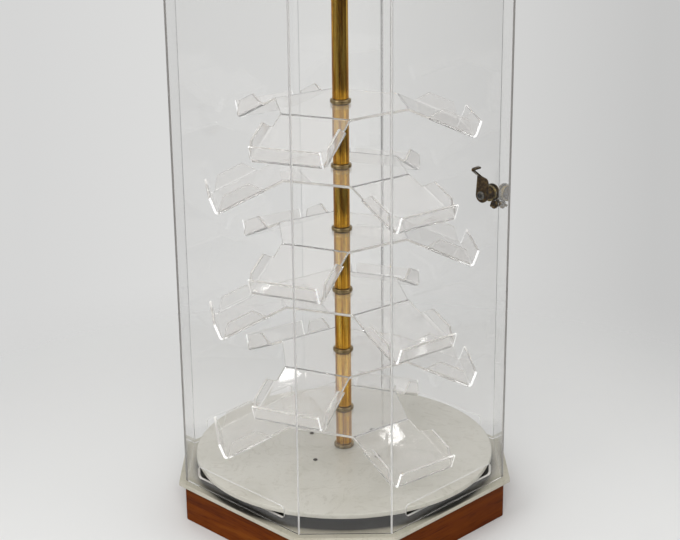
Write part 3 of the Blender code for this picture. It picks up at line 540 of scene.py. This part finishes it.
# Tiers: each is one sheet of clear acrylic, cut out flat and bent over a hot wire. Three arms slope down
# from a hexagonal hub, with two side wings and a front lip bent up to make a tray. They are a little dusty.
SHEET_THICKNESS = 0.0025
SEAT_GAP = 0.0003
HUB_REACH = 0.0580
ARM_HALF = 0.0344
ARM_SLOPE = math.radians(24.5)
ARM_BEND = 0.0050
NECK_LENGTH = 0.0178
WING_LENGTH = 0.0487
WING_HEIGHT = 0.0137
WING_SLANT = 0.0110
WING_BEND = 0.0030
LIP_HEIGHT = 0.0138
LIP_BEND = 0.0025
LIP_TURN = math.radians(95)
LIP_END = 0.0012
TRAY_SOFT_EDGE = 0.0004
TOP_TIER_TURN = math.radians(52)
ODD_TIER_TURN = math.radians(49.7)
EVEN_TIER_TURN = math.radians(113)

# Finger smears: a cloudy mask that dulls the gloss, for the clear sheet and its sawn edges.
finger_smears, entry, leave = node_group("finger_smears", ("Smear Scale",), ("Haze",))
where = finger_smears.nodes.new("ShaderNodeTexCoord")
smear = add(finger_smears, "ShaderNodeTexNoise",
            {"Vector": (where, "Object"), "Scale": (entry, "Smear Scale")}, Detail=5.0, Distortion=1.5)
haze = ramp(finger_smears, smear, "Fac", (0.48, (0, 0, 0)), (0.72, (1, 1, 1)))
finger_smears.links.new(haze.outputs["Color"], leave.inputs["Haze"])


def clear_plastic(name, tint, transmission, smear_scale, roughness, shade, painted_glow=0.0):
    """Acrylic that lets lamp light through to what stands behind it.

    A painted glow, where one is given, stands in for the light that the sheet gathers and lets out at its
    edges.
    """
    finish, tree, shader = blank_finish(name, IOR=1.49, Transmission_Weight=transmission,
                                        Emission_Strength=painted_glow)
    shader.inputs["Base Color"].default_value = (*tint, 1)
    shader.inputs["Emission Color"].default_value = (*tint, 1)
    smears = placed(tree, finger_smears, Smear_Scale=smear_scale)
    gloss = spread(tree, smears, "Haze", *roughness)
    tree.links.new(gloss.outputs["Result"], shader.inputs["Roughness"])
    ray = tree.nodes.new("ShaderNodeLightPath")
    through = tree.nodes.new("ShaderNodeBsdfTransparent")
    through.inputs["Color"].default_value = (shade, shade, shade, 1)
    surface = shader.outputs["BSDF"]
    for kind in ("Is Shadow Ray", "Is Diffuse Ray"):
        choose = tree.nodes.new("ShaderNodeMixShader")
        tree.links.new(ray.outputs[kind], choose.inputs["Fac"])
        tree.links.new(surface, choose.inputs[1])
        tree.links.new(through.outputs["BSDF"], choose.inputs[2])
        surface = choose.outputs["Shader"]
    tree.links.new(surface, tree.nodes["Material Output"].inputs["Surface"])
    return finish


SHEET_SMEARS = 28.0
SHEET_GLOSS = (0.004, 0.04)
EDGE_SMEARS = 160.0
SAWN_GLOSS = (0.30, 0.50)
LIP_END_GLOSS = (0.20, 0.35)
EDGE_SHADE = 0.85
acrylic = clear_plastic("clear_acrylic", (0.996, 0.996, 0.994), 1.0, SHEET_SMEARS, SHEET_GLOSS, 0.95)
dusty_acrylic = clear_plastic("dusty_acrylic", (0.97, 0.96, 0.95), 0.92, SHEET_SMEARS, SHEET_GLOSS, 0.94)
# The sawn edges get a faint painted glow, in place of the light that the sheet pipes to them.
sawn_edge = clear_plastic("sawn_edge", (0.82, 0.79, 0.75), 0.60, EDGE_SMEARS, SAWN_GLOSS, EDGE_SHADE, 0.08)
# The lip ends get a pale white colour and a stronger painted glow, which stand in for light piped out at the
# ends of the lip.
lip_end_glow = clear_plastic("polished_lip_end_painted_glow", (0.96, 0.96, 0.95), 0.10, EDGE_SMEARS, LIP_END_GLOSS,
                        EDGE_SHADE, 0.50)


def arm_line():
    """Points (reach, height, heading) along the middle of an arm, and where its wings start and end."""
    points = []
    state = [HUB_REACH, 0.0, 0.0]

    def bend(angle, radius, steps):
        for _ in range(steps):
            chord = 2 * radius * math.sin(abs(angle) / steps / 2)
            state[2] += angle / steps / 2
            state[0] += chord * math.cos(state[2])
            state[1] += chord * math.sin(state[2])
            state[2] += angle / steps / 2
            points.append(tuple(state))

    def straight(length, steps=1):
        for _ in range(steps):
            state[0] += length / steps * math.cos(state[2])
            state[1] += length / steps * math.sin(state[2])
            points.append(tuple(state))

    bend(-ARM_SLOPE, ARM_BEND, 5)
    straight(NECK_LENGTH)
    wing_start = len(points)
    straight(WING_LENGTH, 4)
    wing_end = len(points)
    bend(LIP_TURN, LIP_BEND, 7)
    straight(LIP_HEIGHT)
    return points, wing_start, wing_end


def add_wing(work, base_row, side, sign, along, up):
    """Bend one wing up from the edge of a tray's floor."""
    low = base_row
    base = [v.co.copy() for v in base_row]
    section = [(x, WING_BEND + y) for x, y in rounded_corner((0.0, 0.0), WING_BEND, -75, 0, 5)]
    section.append((WING_BEND, WING_HEIGHT))
    for out_by, high in section:
        share = WING_SLANT * high / WING_HEIGHT
        upper = []
        for n, spot in enumerate(base):
            shift = share * (1 - 2 * n / (len(base) - 1))
            upper.append(work.verts.new(spot + side * (sign * out_by) + up * high + along * shift))
        for n in range(len(base) - 1):
            loop = (low[n], low[n + 1], upper[n + 1], upper[n])
            work.faces.new(loop if sign < 0 else loop[::-1])
        low = upper


def bent_tier(name, turn):
    """The middle surface of one tier, before it gets its thickness."""
    work = bmesh.new()
    line, wing_start, wing_end = arm_line()
    across = (-ARM_HALF, LIP_END - ARM_HALF, 0.0, ARM_HALF - LIP_END, ARM_HALF)
    last = len(across) - 1
    outer = []
    for i in range(3):
        angle = turn + 2 * math.pi * i / 3
        outward = Vector((math.cos(angle), math.sin(angle), 0))
        side = Vector((-math.sin(angle), math.cos(angle), 0))
        rows = [[work.verts.new(outward * HUB_REACH + side * y) for y in across]]
        outer += rows[0]
        for reach, drop, _ in line:
            rows.append([work.verts.new(outward * reach + side * y + Vector((0, 0, drop))) for y in across])
        for r in range(len(rows) - 1):
            for c in range(last):
                face = work.faces.new((rows[r][c], rows[r + 1][c], rows[r + 1][c + 1], rows[r][c + 1]))
                # The ends of the lip are polished, and their sawn edges take another finish, pale and with a
                # painted glow.
                if r > wing_end and c in (0, last - 1):
                    face.material_index = 2
        heading = line[wing_end - 1][2]
        along = outward * math.cos(heading) + Vector((0, 0, math.sin(heading)))
        up = outward * -math.sin(heading) + Vector((0, 0, math.cos(heading)))
        for column, sign in ((0, -1), (last, 1)):
            base_row = [rows[r][column] for r in range(wing_start, wing_end + 1)]
            add_wing(work, base_row, side, sign, along, up)
    bore = [work.verts.new((*point, 0)) for point in rounded_corner((0.0, 0.0), ROD_HOLE, 0, 345, 23)]
    rims = []
    for loop in (outer, bore):
        for first, second in zip(loop, loop[1:] + loop[:1]):
            rims.append(work.edges.get((first, second)) or work.edges.new((first, second)))
    bmesh.ops.triangle_fill(work, edges=rims, use_beauty=True, use_dissolve=False)
    bmesh.ops.recalc_face_normals(work, faces=work.faces)
    if max(work.faces, key=lambda f: f.calc_area()).normal.z < 0:
        bmesh.ops.reverse_faces(work, faces=work.faces)
    mesh = bpy.data.meshes.new(name)
    work.to_mesh(mesh)
    work.free()
    return smoothed(mesh, 35)


for tier in range(1, TIER_COUNT + 1):
    node = "tray_tier_%d" % tier
    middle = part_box("pole_ring_%d" % tier)[0][2] - SEAT_GAP - SHEET_THICKNESS / 2
    turn = ODD_TIER_TURN if tier % 2 else EVEN_TIER_TURN
    if tier == 1:
        turn = TOP_TIER_TURN
    finishes = [dusty_acrylic, sawn_edge, dusty_acrylic, lip_end_glow]
    sheet = shown("bent_" + node, bent_tier(node, turn), finishes, Matrix.Translation((0, 0, middle)),
                  "turntable", "clear_acrylic", node)
    thick = sheet.modifiers.new("sheet thickness", "SOLIDIFY")
    thick.thickness = SHEET_THICKNESS
    thick.offset = 0
    thick.use_even_offset = True
    thick.material_offset_rim = 1
    eased(sheet, TRAY_SOFT_EDGE, 2, 50)
    flat_faces = sheet.modifiers.new("flat faces", "WEIGHTED_NORMAL")
    flat_faces.keep_sharp = True
    flat_faces.weight = 100

# Walls: clear acrylic panels with mitred edges, cemented to each other and to the plate. The long ones have
# a slot with round corners for the rim of the disc, and the back one is the door, bored for lock and knob.
WALL_INSET = 0.0067
WALL_THICKNESS = 0.0030
WALL_SOFT_EDGE = 0.0003
WALL_FOOT = 0.0006
SLOT_HALF_LENGTH = 0.0620
SLOT_ABOVE_DISC = 0.0055
SLOT_BELOW_DISC = 0.0015
SLOT_ROUND = 0.0035
WALL_LONG = BASE_LONG - WALL_INSET
WALL_SHORT = BASE_SHORT - WALL_INSET
CLEAR, SAWN, PALE_MITRE, GREY_MITRE = range(4)
SEAM_LOOKS = {6: PALE_MITRE, 7: PALE_MITRE, 5: GREY_MITRE, 0: GREY_MITRE}
KNOB_HOLE = 0.0016
LOCK_HOLE = 0.0063


def box_middle(node):
    """The middle of a node's box."""
    low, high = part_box(node)
    return [(low[i] + high[i]) / 2 for i in range(3)]


def slot_loop(half, low, high, radius):
    """A slot outline with round corners."""
    loop = []
    for x, y, start in ((half - radius, high - radius, 0), (-half + radius, high - radius, 90),
                        (-half + radius, low + radius, 180), (half - radius, low + radius, 270)):
        loop += rounded_corner((x, y), radius, start, start + 90, 6)
    return loop


def hole_loop(centre, radius, count):
    """Points round a hole."""
    return rounded_corner(centre, radius, 0, 360 - 360 / count, count - 1)


# The mitres either side of the front right corner panel get a pale tint and a painted glow, for light piped
# along those seams.
front_mitre_glow = clear_plastic("front_mitre_painted_glow", (0.88, 0.87, 0.85), 0.6, EDGE_SMEARS, SAWN_GLOSS,
                           EDGE_SHADE, 0.09)
# The next mitre out on each side of those gets a dark grey painted shade.
outer_mitre_shade = clear_plastic("outer_mitre_painted_shade", (0.30, 0.285, 0.27), 0.3, EDGE_SMEARS, SAWN_GLOSS, 0.7)


def sawn_sides(mesh, mitre_reach=1.0, looks=(SAWN, SAWN)):
    """Give the edges of a sheet their finish, and the two mitres, further out than a reach, their own."""
    for face in mesh.polygons:
        if abs(face.normal.z) > 0.7:
            continue
        face.material_index = SAWN
        if abs(face.center.x) > mitre_reach:
            face.material_index = looks[face.center.x > 0]
    return mesh


lock_middle = box_middle("lock_barrel")
knob_middle = box_middle("door_knob")
for k, side_name in enumerate(SIDES):
    is_door = side_name == "back"
    node = "door_panel" if is_door else "wall_" + side_name
    low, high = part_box(node)
    base = low[2]
    height = high[2] - base
    outer = half_side(k, WALL_LONG, WALL_SHORT) - MITRE_TRIM
    inner = half_side(k, WALL_LONG - WALL_THICKNESS, WALL_SHORT - WALL_THICKNESS) - MITRE_TRIM
    loops = [[(-outer, 0.0), (outer, 0.0), (outer, height), (-outer, height)]]
    if k % 2 == 0:
        loops.append(slot_loop(SLOT_HALF_LENGTH, DISC_LOW - SLOT_BELOW_DISC - base,
                               DISC_TOP + SLOT_ABOVE_DISC - base, SLOT_ROUND))
    if is_door:
        loops.append(hole_loop((-lock_middle[0], lock_middle[2] - base), LOCK_HOLE, 32))
        loops.append(hole_loop((-knob_middle[0], knob_middle[2] - base), KNOB_HOLE, 20))
    panel = cut_sheet(node, loops, WALL_THICKNESS)
    for v in panel.vertices:
        if abs(v.co.x) > outer - 1e-5 and v.co.z < WALL_THICKNESS / 2:
            v.co.x = math.copysign(inner, v.co.x)
    reach = (WALL_SHORT if k % 2 else WALL_LONG) - WALL_THICKNESS
    looks = [SEAM_LOOKS.get(seam % len(SIDES), CLEAR) for seam in (k - 1, k)]
    sawn_sides(panel, inner - WALL_THICKNESS / 2, looks)
    # The cement at the foot of a wall leaves its edge there clear.
    for face in panel.polygons:
        if face.normal.y < -0.7 and face.center.y < WALL_FOOT:
            face.material_index = CLEAR
    piece = shown("clear_" + node, panel, [acrylic, sawn_edge, front_mitre_glow, outer_mitre_shade],
                  side_place(k, reach, 0.0, base), "door" if is_door else "case", "clear_acrylic", node)
    eased(piece, WALL_SOFT_EDGE, 2, 20)

# Top: a clear acrylic sheet cemented on the walls, with a turned nylon bush in its middle that steadies
# the pole's rod. The bush's flange hangs under the sheet.
BUSH_SOFT_EDGE = 0.0006
top_low, top_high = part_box("top_sheet")
bush_low, bush_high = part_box("top_bush")
BUSH_RADIUS = 0.0080
BUSH_BORE = 0.0044
top_hole = hole_loop((0.0, 0.0), BUSH_RADIUS + SEAT_GAP, 48)
top = cut_sheet("top_sheet", [plan_corners(WALL_LONG, WALL_SHORT), top_hole], top_high[2] - top_low[2])
eased(shown("clear_top_sheet", sawn_sides(top), [acrylic, sawn_edge], Matrix.Translation((0, 0, top_low[2])),
            "case", "clear_acrylic", "top_sheet"), WALL_SOFT_EDGE)
nylon, tree, shader = blank_finish("natural_nylon", Subsurface_Weight=0.1)
mottle = tree.nodes.new("ShaderNodeTexNoise")
mottle.inputs["Scale"].default_value = 300.0
milk = ramp(tree, mottle, "Fac", (0.3, (0.72, 0.70, 0.64)), (0.7, (0.80, 0.79, 0.74)))
tree.links.new(milk.outputs["Color"], shader.inputs["Base Color"])
waxy = spread(tree, mottle, "Fac", 0.36, 0.5)
tree.links.new(waxy.outputs["Result"], shader.inputs["Roughness"])
flange = bush_high[0]
flange_top = top_low[2] - SEAT_GAP
soft = BUSH_SOFT_EDGE
profile = [(BUSH_BORE, bush_high[2])]
profile += rounded_corner((BUSH_RADIUS - soft, bush_high[2] - soft), soft, 90, 0, 4)
profile += [(BUSH_RADIUS, flange_top)]
profile += rounded_corner((flange - soft, flange_top - soft), soft, 90, 0, 4)
profile += rounded_corner((flange - soft, bush_low[2] + soft), soft, 0, -90, 4)
profile += [(BUSH_BORE, bush_low[2])]
shown("nylon_bush", turned("top_bush", profile, 48), [nylon], Matrix(), "case", "nylon", "top_bush")

# Door hinge: two clear plastic leaves with long knuckles on one thin steel pin, cemented outside the corner
# between the door and its neighbour.
for node in ("hinge_leaf_wall", "hinge_leaf_door"):
    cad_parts[node].material_slots[0].material = acrylic
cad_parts["hinge_pin"].material_slots[0].material = zinc

# Cam lock: a turned brass barrel through the door with a thin notched nut inside, a steel plug with its
# keyway outside, and a cam bent from brass strip, screwed to the plug's end. All but the nut is age-dark.
BARREL_RADIUS = 0.0060
BARREL_BORE = 0.0044
THREAD_PITCH = 0.0010
THREAD_DEPTH = 0.0003
FLANGE_RADIUS = 0.0090
FLANGE_SOFT_EDGE = 0.0014
NUT_NOTCHES = 6
NUT_NOTCH_DEPTH = 0.0007
NUT_TOOTH_END = 46
NUT_NOTCH_SPAN = (48, 58)
NUT_SOFT_EDGE = 0.0003
CAM_HALF_WIDTH = 0.0075
CAM_TIP_HALF_WIDTH = 0.0060
CAM_SHOULDER = 0.0050
CAM_REACH = 0.0195
CAM_THICKNESS = 0.0018
CAM_SOFT_EDGE = 0.0003
CAM_BORE = 0.0019
HOOK_HALF_WIDTH = 0.0020
HOOK_SHIFT = 0.0036
HOOK_RISE = 0.0080
HOOK_DEPTH = 0.0100
HOOK_TAB = 0.0105
CAM_SCREW_SHANK = 0.0016
CAM_SCREW_HEAD = 0.0042
CAM_SCREW_HEIGHT = 0.0020
CAM_SCREW_DIMPLE = 0.0026
lock_brass = brass("dark_lock_brass", 260.0, 240.0,
                   (0.040, 0.021, 0.005), (0.075, 0.043, 0.011), (0.15, 0.100, 0.032), 0.42, 0.24)
nut_brass = brass("lock_nut_brass", 260.0, 240.0,
                  (0.16, 0.115, 0.040), (0.26, 0.195, 0.075), (0.40, 0.31, 0.13), 0.42, 0.24)
screw_steel, tree, shader = blank_finish("grey_screw_steel", Metallic=1.0)
age = placed(tree, brass_age, Streak_Scale=300.0, Spot_Scale=500.0)
steel_tone = ramp(tree, age, "Spots", (0.35, (0.26, 0.26, 0.25)), (0.65, (0.13, 0.125, 0.115)))
# Painted shade in the dimple of the screw head: nearly black inside the dimple's radius.
painted_dimple_shade = ramp(tree, from_middle(tree), "Value", (CAM_SCREW_DIMPLE, (0.08, 0.08, 0.075)),
                    (CAM_SCREW_DIMPLE * 1.2, (1.0, 1.0, 1.0)))
steel = darkened(tree, steel_tone, painted_dimple_shade, 1.0)
tree.links.new(steel, shader.inputs["Base Color"])
steel_dull = spread(tree, age, "Spots", 0.25, 0.45)
tree.links.new(steel_dull.outputs["Result"], shader.inputs["Roughness"])


def door_place(middle):
    """A frame on the outside of the door: X along it, Y up and Z outwards."""
    return side_place(SIDES.index("back"), WALL_LONG, -middle[0], middle[2])


def door_depths(node):
    """How far a node reaches inwards and outwards from the outside of the door."""
    low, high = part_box(node)
    return low[1] - WALL_LONG, high[1] - WALL_LONG


lock_place = door_place(lock_middle)
barrel_in, barrel_out = door_depths("lock_barrel")
profile = [(BARREL_BORE, barrel_out)]
profile += rounded_corner((FLANGE_RADIUS - FLANGE_SOFT_EDGE, barrel_out - FLANGE_SOFT_EDGE),
                          FLANGE_SOFT_EDGE, 90, 0, 5)
profile += [(FLANGE_RADIUS, SEAT_GAP), (BARREL_RADIUS, SEAT_GAP)]
thread = -WALL_THICKNESS
while thread - THREAD_PITCH > barrel_in:
    profile += [(BARREL_RADIUS, thread), (BARREL_RADIUS - THREAD_DEPTH, thread - THREAD_PITCH / 2)]
    thread -= THREAD_PITCH
profile += [(BARREL_RADIUS, thread), (BARREL_RADIUS - THREAD_DEPTH, barrel_in), (BARREL_BORE, barrel_in)]
shown("brass_lock_barrel", turned("lock_barrel", profile, 48), [lock_brass], lock_place,
      "door", "aged_brass", "lock_barrel")

nut_in, nut_out = door_depths("lock_nut")
nut_low, nut_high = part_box("lock_nut")
nut_radius = (nut_high[0] - nut_low[0]) / 2
nut_outline = []
for i in range(NUT_NOTCHES):
    start = 360 * i / NUT_NOTCHES
    notch_start, notch_end = [start + angle for angle in NUT_NOTCH_SPAN]
    nut_outline += rounded_corner((0.0, 0.0), nut_radius, start, start + NUT_TOOTH_END, 8)
    nut_outline += rounded_corner((0.0, 0.0), nut_radius - NUT_NOTCH_DEPTH, notch_start, notch_end, 2)
nut = cut_sheet("lock_nut", [nut_outline, hole_loop((0.0, 0.0), BARREL_RADIUS + SEAT_GAP, 48)],
                nut_out - nut_in)
eased(shown("brass_lock_nut", nut, [nut_brass], lock_place @ Matrix.Translation((0, 0, nut_in)),
            "door", "aged_brass", "lock_nut"), NUT_SOFT_EDGE)
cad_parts["lock_plug"].material_slots[0].material = screw_steel


def bent_cam(middle):
    """The middle surface of the cam: a plate with one round shoulder and a hook bent inwards and back."""
    work = bmesh.new()
    hook_sides = (HOOK_SHIFT + HOOK_HALF_WIDTH, HOOK_SHIFT - HOOK_HALF_WIDTH)
    tab_corners = [work.verts.new((x, CAM_REACH, middle)) for x in hook_sides]
    outline = [work.verts.new((CAM_TIP_HALF_WIDTH, CAM_REACH - CAM_THICKNESS / 2, middle))] + tab_corners
    shoulder = (CAM_SHOULDER - CAM_HALF_WIDTH, CAM_REACH - CAM_THICKNESS / 2 - CAM_SHOULDER)
    for x, y in rounded_corner(shoulder, CAM_SHOULDER, 90, 180, 8):
        outline.append(work.verts.new((x, y, middle)))
    for x, y in rounded_corner((0.0, 0.0), CAM_HALF_WIDTH, 180, 360, 24):
        outline.append(work.verts.new((x, y, middle)))
    bore = [work.verts.new((x, y, middle)) for x, y in hole_loop((0.0, 0.0), CAM_BORE, 24)]
    edges = []
    for loop in (outline, bore):
        for first, second in zip(loop, loop[1:] + loop[:1]):
            edges.append(work.edges.new((first, second)))
    bmesh.ops.triangle_fill(work, edges=edges, use_beauty=True, use_dissolve=False)
    hook_in = middle - HOOK_DEPTH
    hook_top = CAM_REACH + HOOK_RISE
    path = [(hook_top - CAM_THICKNESS / 2, hook_in + CAM_THICKNESS / 4),
            (hook_top + CAM_THICKNESS / 4, hook_in + CAM_THICKNESS / 4),
            (hook_top + CAM_THICKNESS / 2, hook_in + CAM_THICKNESS),
            (hook_top + CAM_THICKNESS / 2, hook_in + HOOK_TAB - CAM_THICKNESS / 2)]
    row = tab_corners
    for up, depth in path:
        after = [work.verts.new((x, up, depth)) for x in hook_sides]
        work.faces.new((row[0], row[1], after[1], after[0]))
        row = after
    bmesh.ops.recalc_face_normals(work, faces=work.faces)
    mesh = bpy.data.meshes.new("lock_cam")
    work.to_mesh(mesh)
    work.free()
    return smoothed(mesh, 40)


screw_in, screw_out = door_depths("cam_screw")
cam_low = screw_in + CAM_SCREW_HEIGHT + SEAT_GAP
cam = shown("brass_lock_cam", bent_cam(cam_low + CAM_THICKNESS / 2), [lock_brass], lock_place,
            "lock_cam", "aged_brass", "lock_cam")
thick = cam.modifiers.new("strip thickness", "SOLIDIFY")
thick.thickness = CAM_THICKNESS
thick.offset = 0
eased(cam, CAM_SOFT_EDGE, 2, 40)

head_top = screw_in
head_low = screw_in + CAM_SCREW_HEIGHT
soft = CAM_SCREW_HEIGHT * 0.6
profile = [(0.0, screw_out), (CAM_SCREW_SHANK, screw_out), (CAM_SCREW_SHANK, head_low),
           (CAM_SCREW_HEAD, head_low)]
profile += rounded_corner((CAM_SCREW_HEAD - soft, head_top + soft), soft, 0, -90, 5)
profile += [(CAM_SCREW_DIMPLE, head_top), (CAM_SCREW_DIMPLE * 0.8, head_top + CAM_SCREW_HEIGHT * 0.7),
            (0.0, head_top + CAM_SCREW_HEIGHT * 0.8)]
shown("steel_cam_screw", turned("cam_screw", profile, 40), [screw_steel], lock_place,
      "lock_cam", "zinc_steel", "cam_screw")

# Pull knob: a small turned brass knob outside the door, near its free edge. Its shank goes through the door
# and a round nut inside, with a stub of the shank beyond it.
KNOB_BULGE_SHARE = 0.36
KNOB_NECK = 0.0018
KNOB_FOOT_FLARE = 1.3
KNOB_FOOT_HEIGHT = 0.0012
KNOB_SHANK = 0.0013
KNOB_NUT_RADIUS = 0.0042
KNOB_NUT_HEIGHT = 0.0022
KNOB_NUT_SOFT_EDGE = 0.0005
knob_low, knob_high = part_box("door_knob")
knob_radius = (knob_high[0] - knob_low[0]) / 2
knob_in, knob_out = door_depths("door_knob")
bulge = (knob_out - SEAT_GAP) * KNOB_BULGE_SHARE
profile = [(0.0, knob_out)]
for step in range(1, 13):
    angle = math.radians(90 - 13 * step)
    profile.append((knob_radius * math.cos(angle), knob_out - bulge + bulge * math.sin(angle)))
soft = KNOB_NUT_SOFT_EDGE
nut_reach = KNOB_NUT_RADIUS - soft
nut_top = -WALL_THICKNESS - SEAT_GAP
nut_low = nut_top - KNOB_NUT_HEIGHT
profile += [(KNOB_NECK, SEAT_GAP + KNOB_FOOT_HEIGHT), (KNOB_NECK * KNOB_FOOT_FLARE, SEAT_GAP),
            (KNOB_SHANK, SEAT_GAP), (KNOB_SHANK, nut_top)]
profile += rounded_corner((nut_reach, nut_top - soft), soft, 90, 0, 4)
profile += rounded_corner((nut_reach, nut_low + soft), soft, 0, -90, 4)
profile += [(KNOB_SHANK, nut_low)]
profile += rounded_corner((KNOB_SHANK - soft, knob_in + soft), soft, 0, -90, 4)
profile += [(0.0, knob_in)]
shown("brass_pull_knob", turned("door_knob", profile, 40), [lock_brass], door_place(knob_middle),
      "door", "aged_brass", "door_knob")

# Setting: a pale paper floor that fades into a pale backdrop behind the case, in a dim room with a brighter
# side to the left of the camera. Rays that go straight to it through the sheets, or upwards from a mirror,
# see the backdrop on every side.
FLOOR_HALF_WIDTH = 1.5
FLOOR_CLEAR = 0.32
FLOOR_FADED = 0.75
FEW_CROSSINGS = 4.5
CAMERA_RIGHT = Vector((1, 1, 0)).normalized()
CAMERA_AHEAD = Vector((-1, 1, 0)).normalized()
sheet = bmesh.new()
bmesh.ops.create_grid(sheet, x_segments=1, y_segments=1, size=FLOOR_HALF_WIDTH)
mesh = bpy.data.meshes.new("paper_floor")
sheet.to_mesh(mesh)
sheet.free()
paper, tree, shader = blank_finish("pale_paper", Base_Color=(0.77, 0.77, 0.76, 1), Roughness=0.9,
                                   Specular_IOR_Level=0.1)
fade = add(tree, "ShaderNodeMapRange", {"Value": (from_middle(tree), "Value")},
           From_Min=FLOOR_CLEAR, From_Max=FLOOR_FADED)
fade.interpolation_type = "SMOOTHSTEP"
beyond = tree.nodes.new("ShaderNodeBsdfTransparent")
choose = tree.nodes.new("ShaderNodeMixShader")
tree.links.new(fade.outputs["Result"], choose.inputs["Fac"])
tree.links.new(shader.outputs["BSDF"], choose.inputs[1])
tree.links.new(beyond.outputs["BSDF"], choose.inputs[2])
tree.links.new(choose.outputs["Shader"], tree.nodes["Material Output"].inputs["Surface"])
floor = bpy.data.objects.new("paper_floor", mesh)
mesh.materials.append(paper)
bpy.context.scene.collection.objects.link(floor)

world = bpy.data.worlds.new("studio")
world.use_nodes = True
tree = world.node_tree
heading = tree.nodes.new("ShaderNodeTexCoord")


def towards(direction, low, high):
    """How far a ray heads in a direction, from 0 at one cosine to 1 at another."""
    cosine = tree.nodes.new("ShaderNodeVectorMath")
    cosine.operation = "DOT_PRODUCT"
    cosine.inputs[1].default_value = direction
    tree.links.new(heading.outputs["Generated"], cosine.inputs[0])
    return add(tree, "ShaderNodeMapRange", {"Value": (cosine, "Value")}, From_Min=low, From_Max=high)


def worked_out(kind, first, second):
    """One step of arithmetic on two values, each an output socket or a number."""
    made = tree.nodes.new("ShaderNodeMath")
    made.operation = kind
    for socket, value in zip(made.inputs, (first, second)):
        if isinstance(value, float):
            socket.default_value = value
        else:
            tree.links.new(value, socket)
    return made.outputs["Value"]


backdrop = ramp(tree, towards(CAMERA_RIGHT, -0.20, 0.20), "Result", (0.0, (0.67, 0.67, 0.665)),
                (0.5, (0.76, 0.76, 0.75)), (1.0, (0.56, 0.56, 0.555)))
dim_room = ramp(tree, towards(CAMERA_RIGHT, -0.9, 0.4), "Result", (0.0, (0.28, 0.28, 0.28)),
                (0.5, (0.06, 0.06, 0.06)), (1.0, (0.09, 0.09, 0.09)))
behind = towards(CAMERA_AHEAD, 0.05, 0.40)
room = mixed(tree, behind.outputs["Result"], dim_room.outputs["Color"], backdrop.outputs["Color"])
ray = tree.nodes.new("ShaderNodeLightPath")
straight = worked_out("MAXIMUM", ray.outputs["Is Camera Ray"], ray.outputs["Is Transmission Ray"])
once = worked_out("COMPARE", ray.outputs["Glossy Depth"], 1.0)
few_sheets = worked_out("LESS_THAN", ray.outputs["Transmission Depth"], FEW_CROSSINGS)
plainly = worked_out("SUBTRACT", 1.0, worked_out("MULTIPLY", once, few_sheets))
seen = worked_out("MAXIMUM", straight, ray.outputs["Is Glossy Ray"])
upwards = towards(Vector((0, 0, 1)), 0.10, 0.30)
overhead = worked_out("MULTIPLY", seen, upwards.outputs["Result"])
pale = worked_out("MAXIMUM", worked_out("MULTIPLY", straight, plainly), overhead)
surround = mixed(tree, pale, room, backdrop.outputs["Color"])
tree.links.new(surround, tree.nodes["Background"].inputs["Color"])
bpy.context.scene.world = world


def lamp(name, place, target, size, power, mirrored=True):
    """A square soft box that faces a point, and that shiny surfaces may mirror."""
    light = bpy.data.lights.new(name, "AREA")
    light.size = size
    light.energy = power
    holder = bpy.data.objects.new(name, light)
    holder.location = place
    holder.rotation_euler = (Vector(target) - Vector(place)).to_track_quat("-Z", "Y").to_euler()
    holder.visible_glossy = mirrored
    holder.visible_transmission = mirrored
    bpy.context.scene.collection.objects.link(holder)


lamp("key_box", (-0.21, -1.49, 1.70), (0, 0, 0.25), 1.2, 14)
lamp("front_box", (1.15, -1.15, 1.05), (0, 0, 0.20), 0.8, 18, False)
lamp("fill_box", (1.20, 0.64, 1.30), (0, 0, 0.25), 1.2, 5)
lamp("top_box", (0.0, 0.0, 2.20), (0, 0, 0), 1.6, 9)
lamp("left_spark", (-0.92, 0.09, 1.81), (0, 0, 0.2), 0.045, 1)
lamp("right_spark", (-0.05, 1.12, 1.61), (0, 0, 0.2), 0.045, 1)

LENS_MM = 81.5
CAMERA_PLACE = (1.0163, -1.0195, DISC_TOP + 0.6857)
CAMERA_TURN = math.radians(45)
CAMERA_TILT = math.radians(71.01)
CAMERA_ROLL = math.radians(-0.63)
scene = bpy.context.scene
lens = bpy.data.cameras.new("photo_view")
lens.sensor_width = 36.0
lens.sensor_fit = "HORIZONTAL"
lens.lens = LENS_MM
viewer = bpy.data.objects.new("photo_view", lens)
scene.collection.objects.link(viewer)
aim = Matrix.Rotation(CAMERA_TURN, 4, "Z") @ Matrix.Rotation(CAMERA_TILT, 4, "X")
level = Matrix.Rotation(CAMERA_ROLL, 4, "Z")
viewer.matrix_world = Matrix.Translation(CAMERA_PLACE) @ aim @ level
scene.camera = viewer

scene.view_settings.view_transform = "Standard"
scene.cycles.max_bounces = 40
scene.cycles.transmission_bounces = 32
scene.cycles.transparent_max_bounces = 32
scene.cycles.glossy_bounces = 32
scene.cycles.use_denoising = True
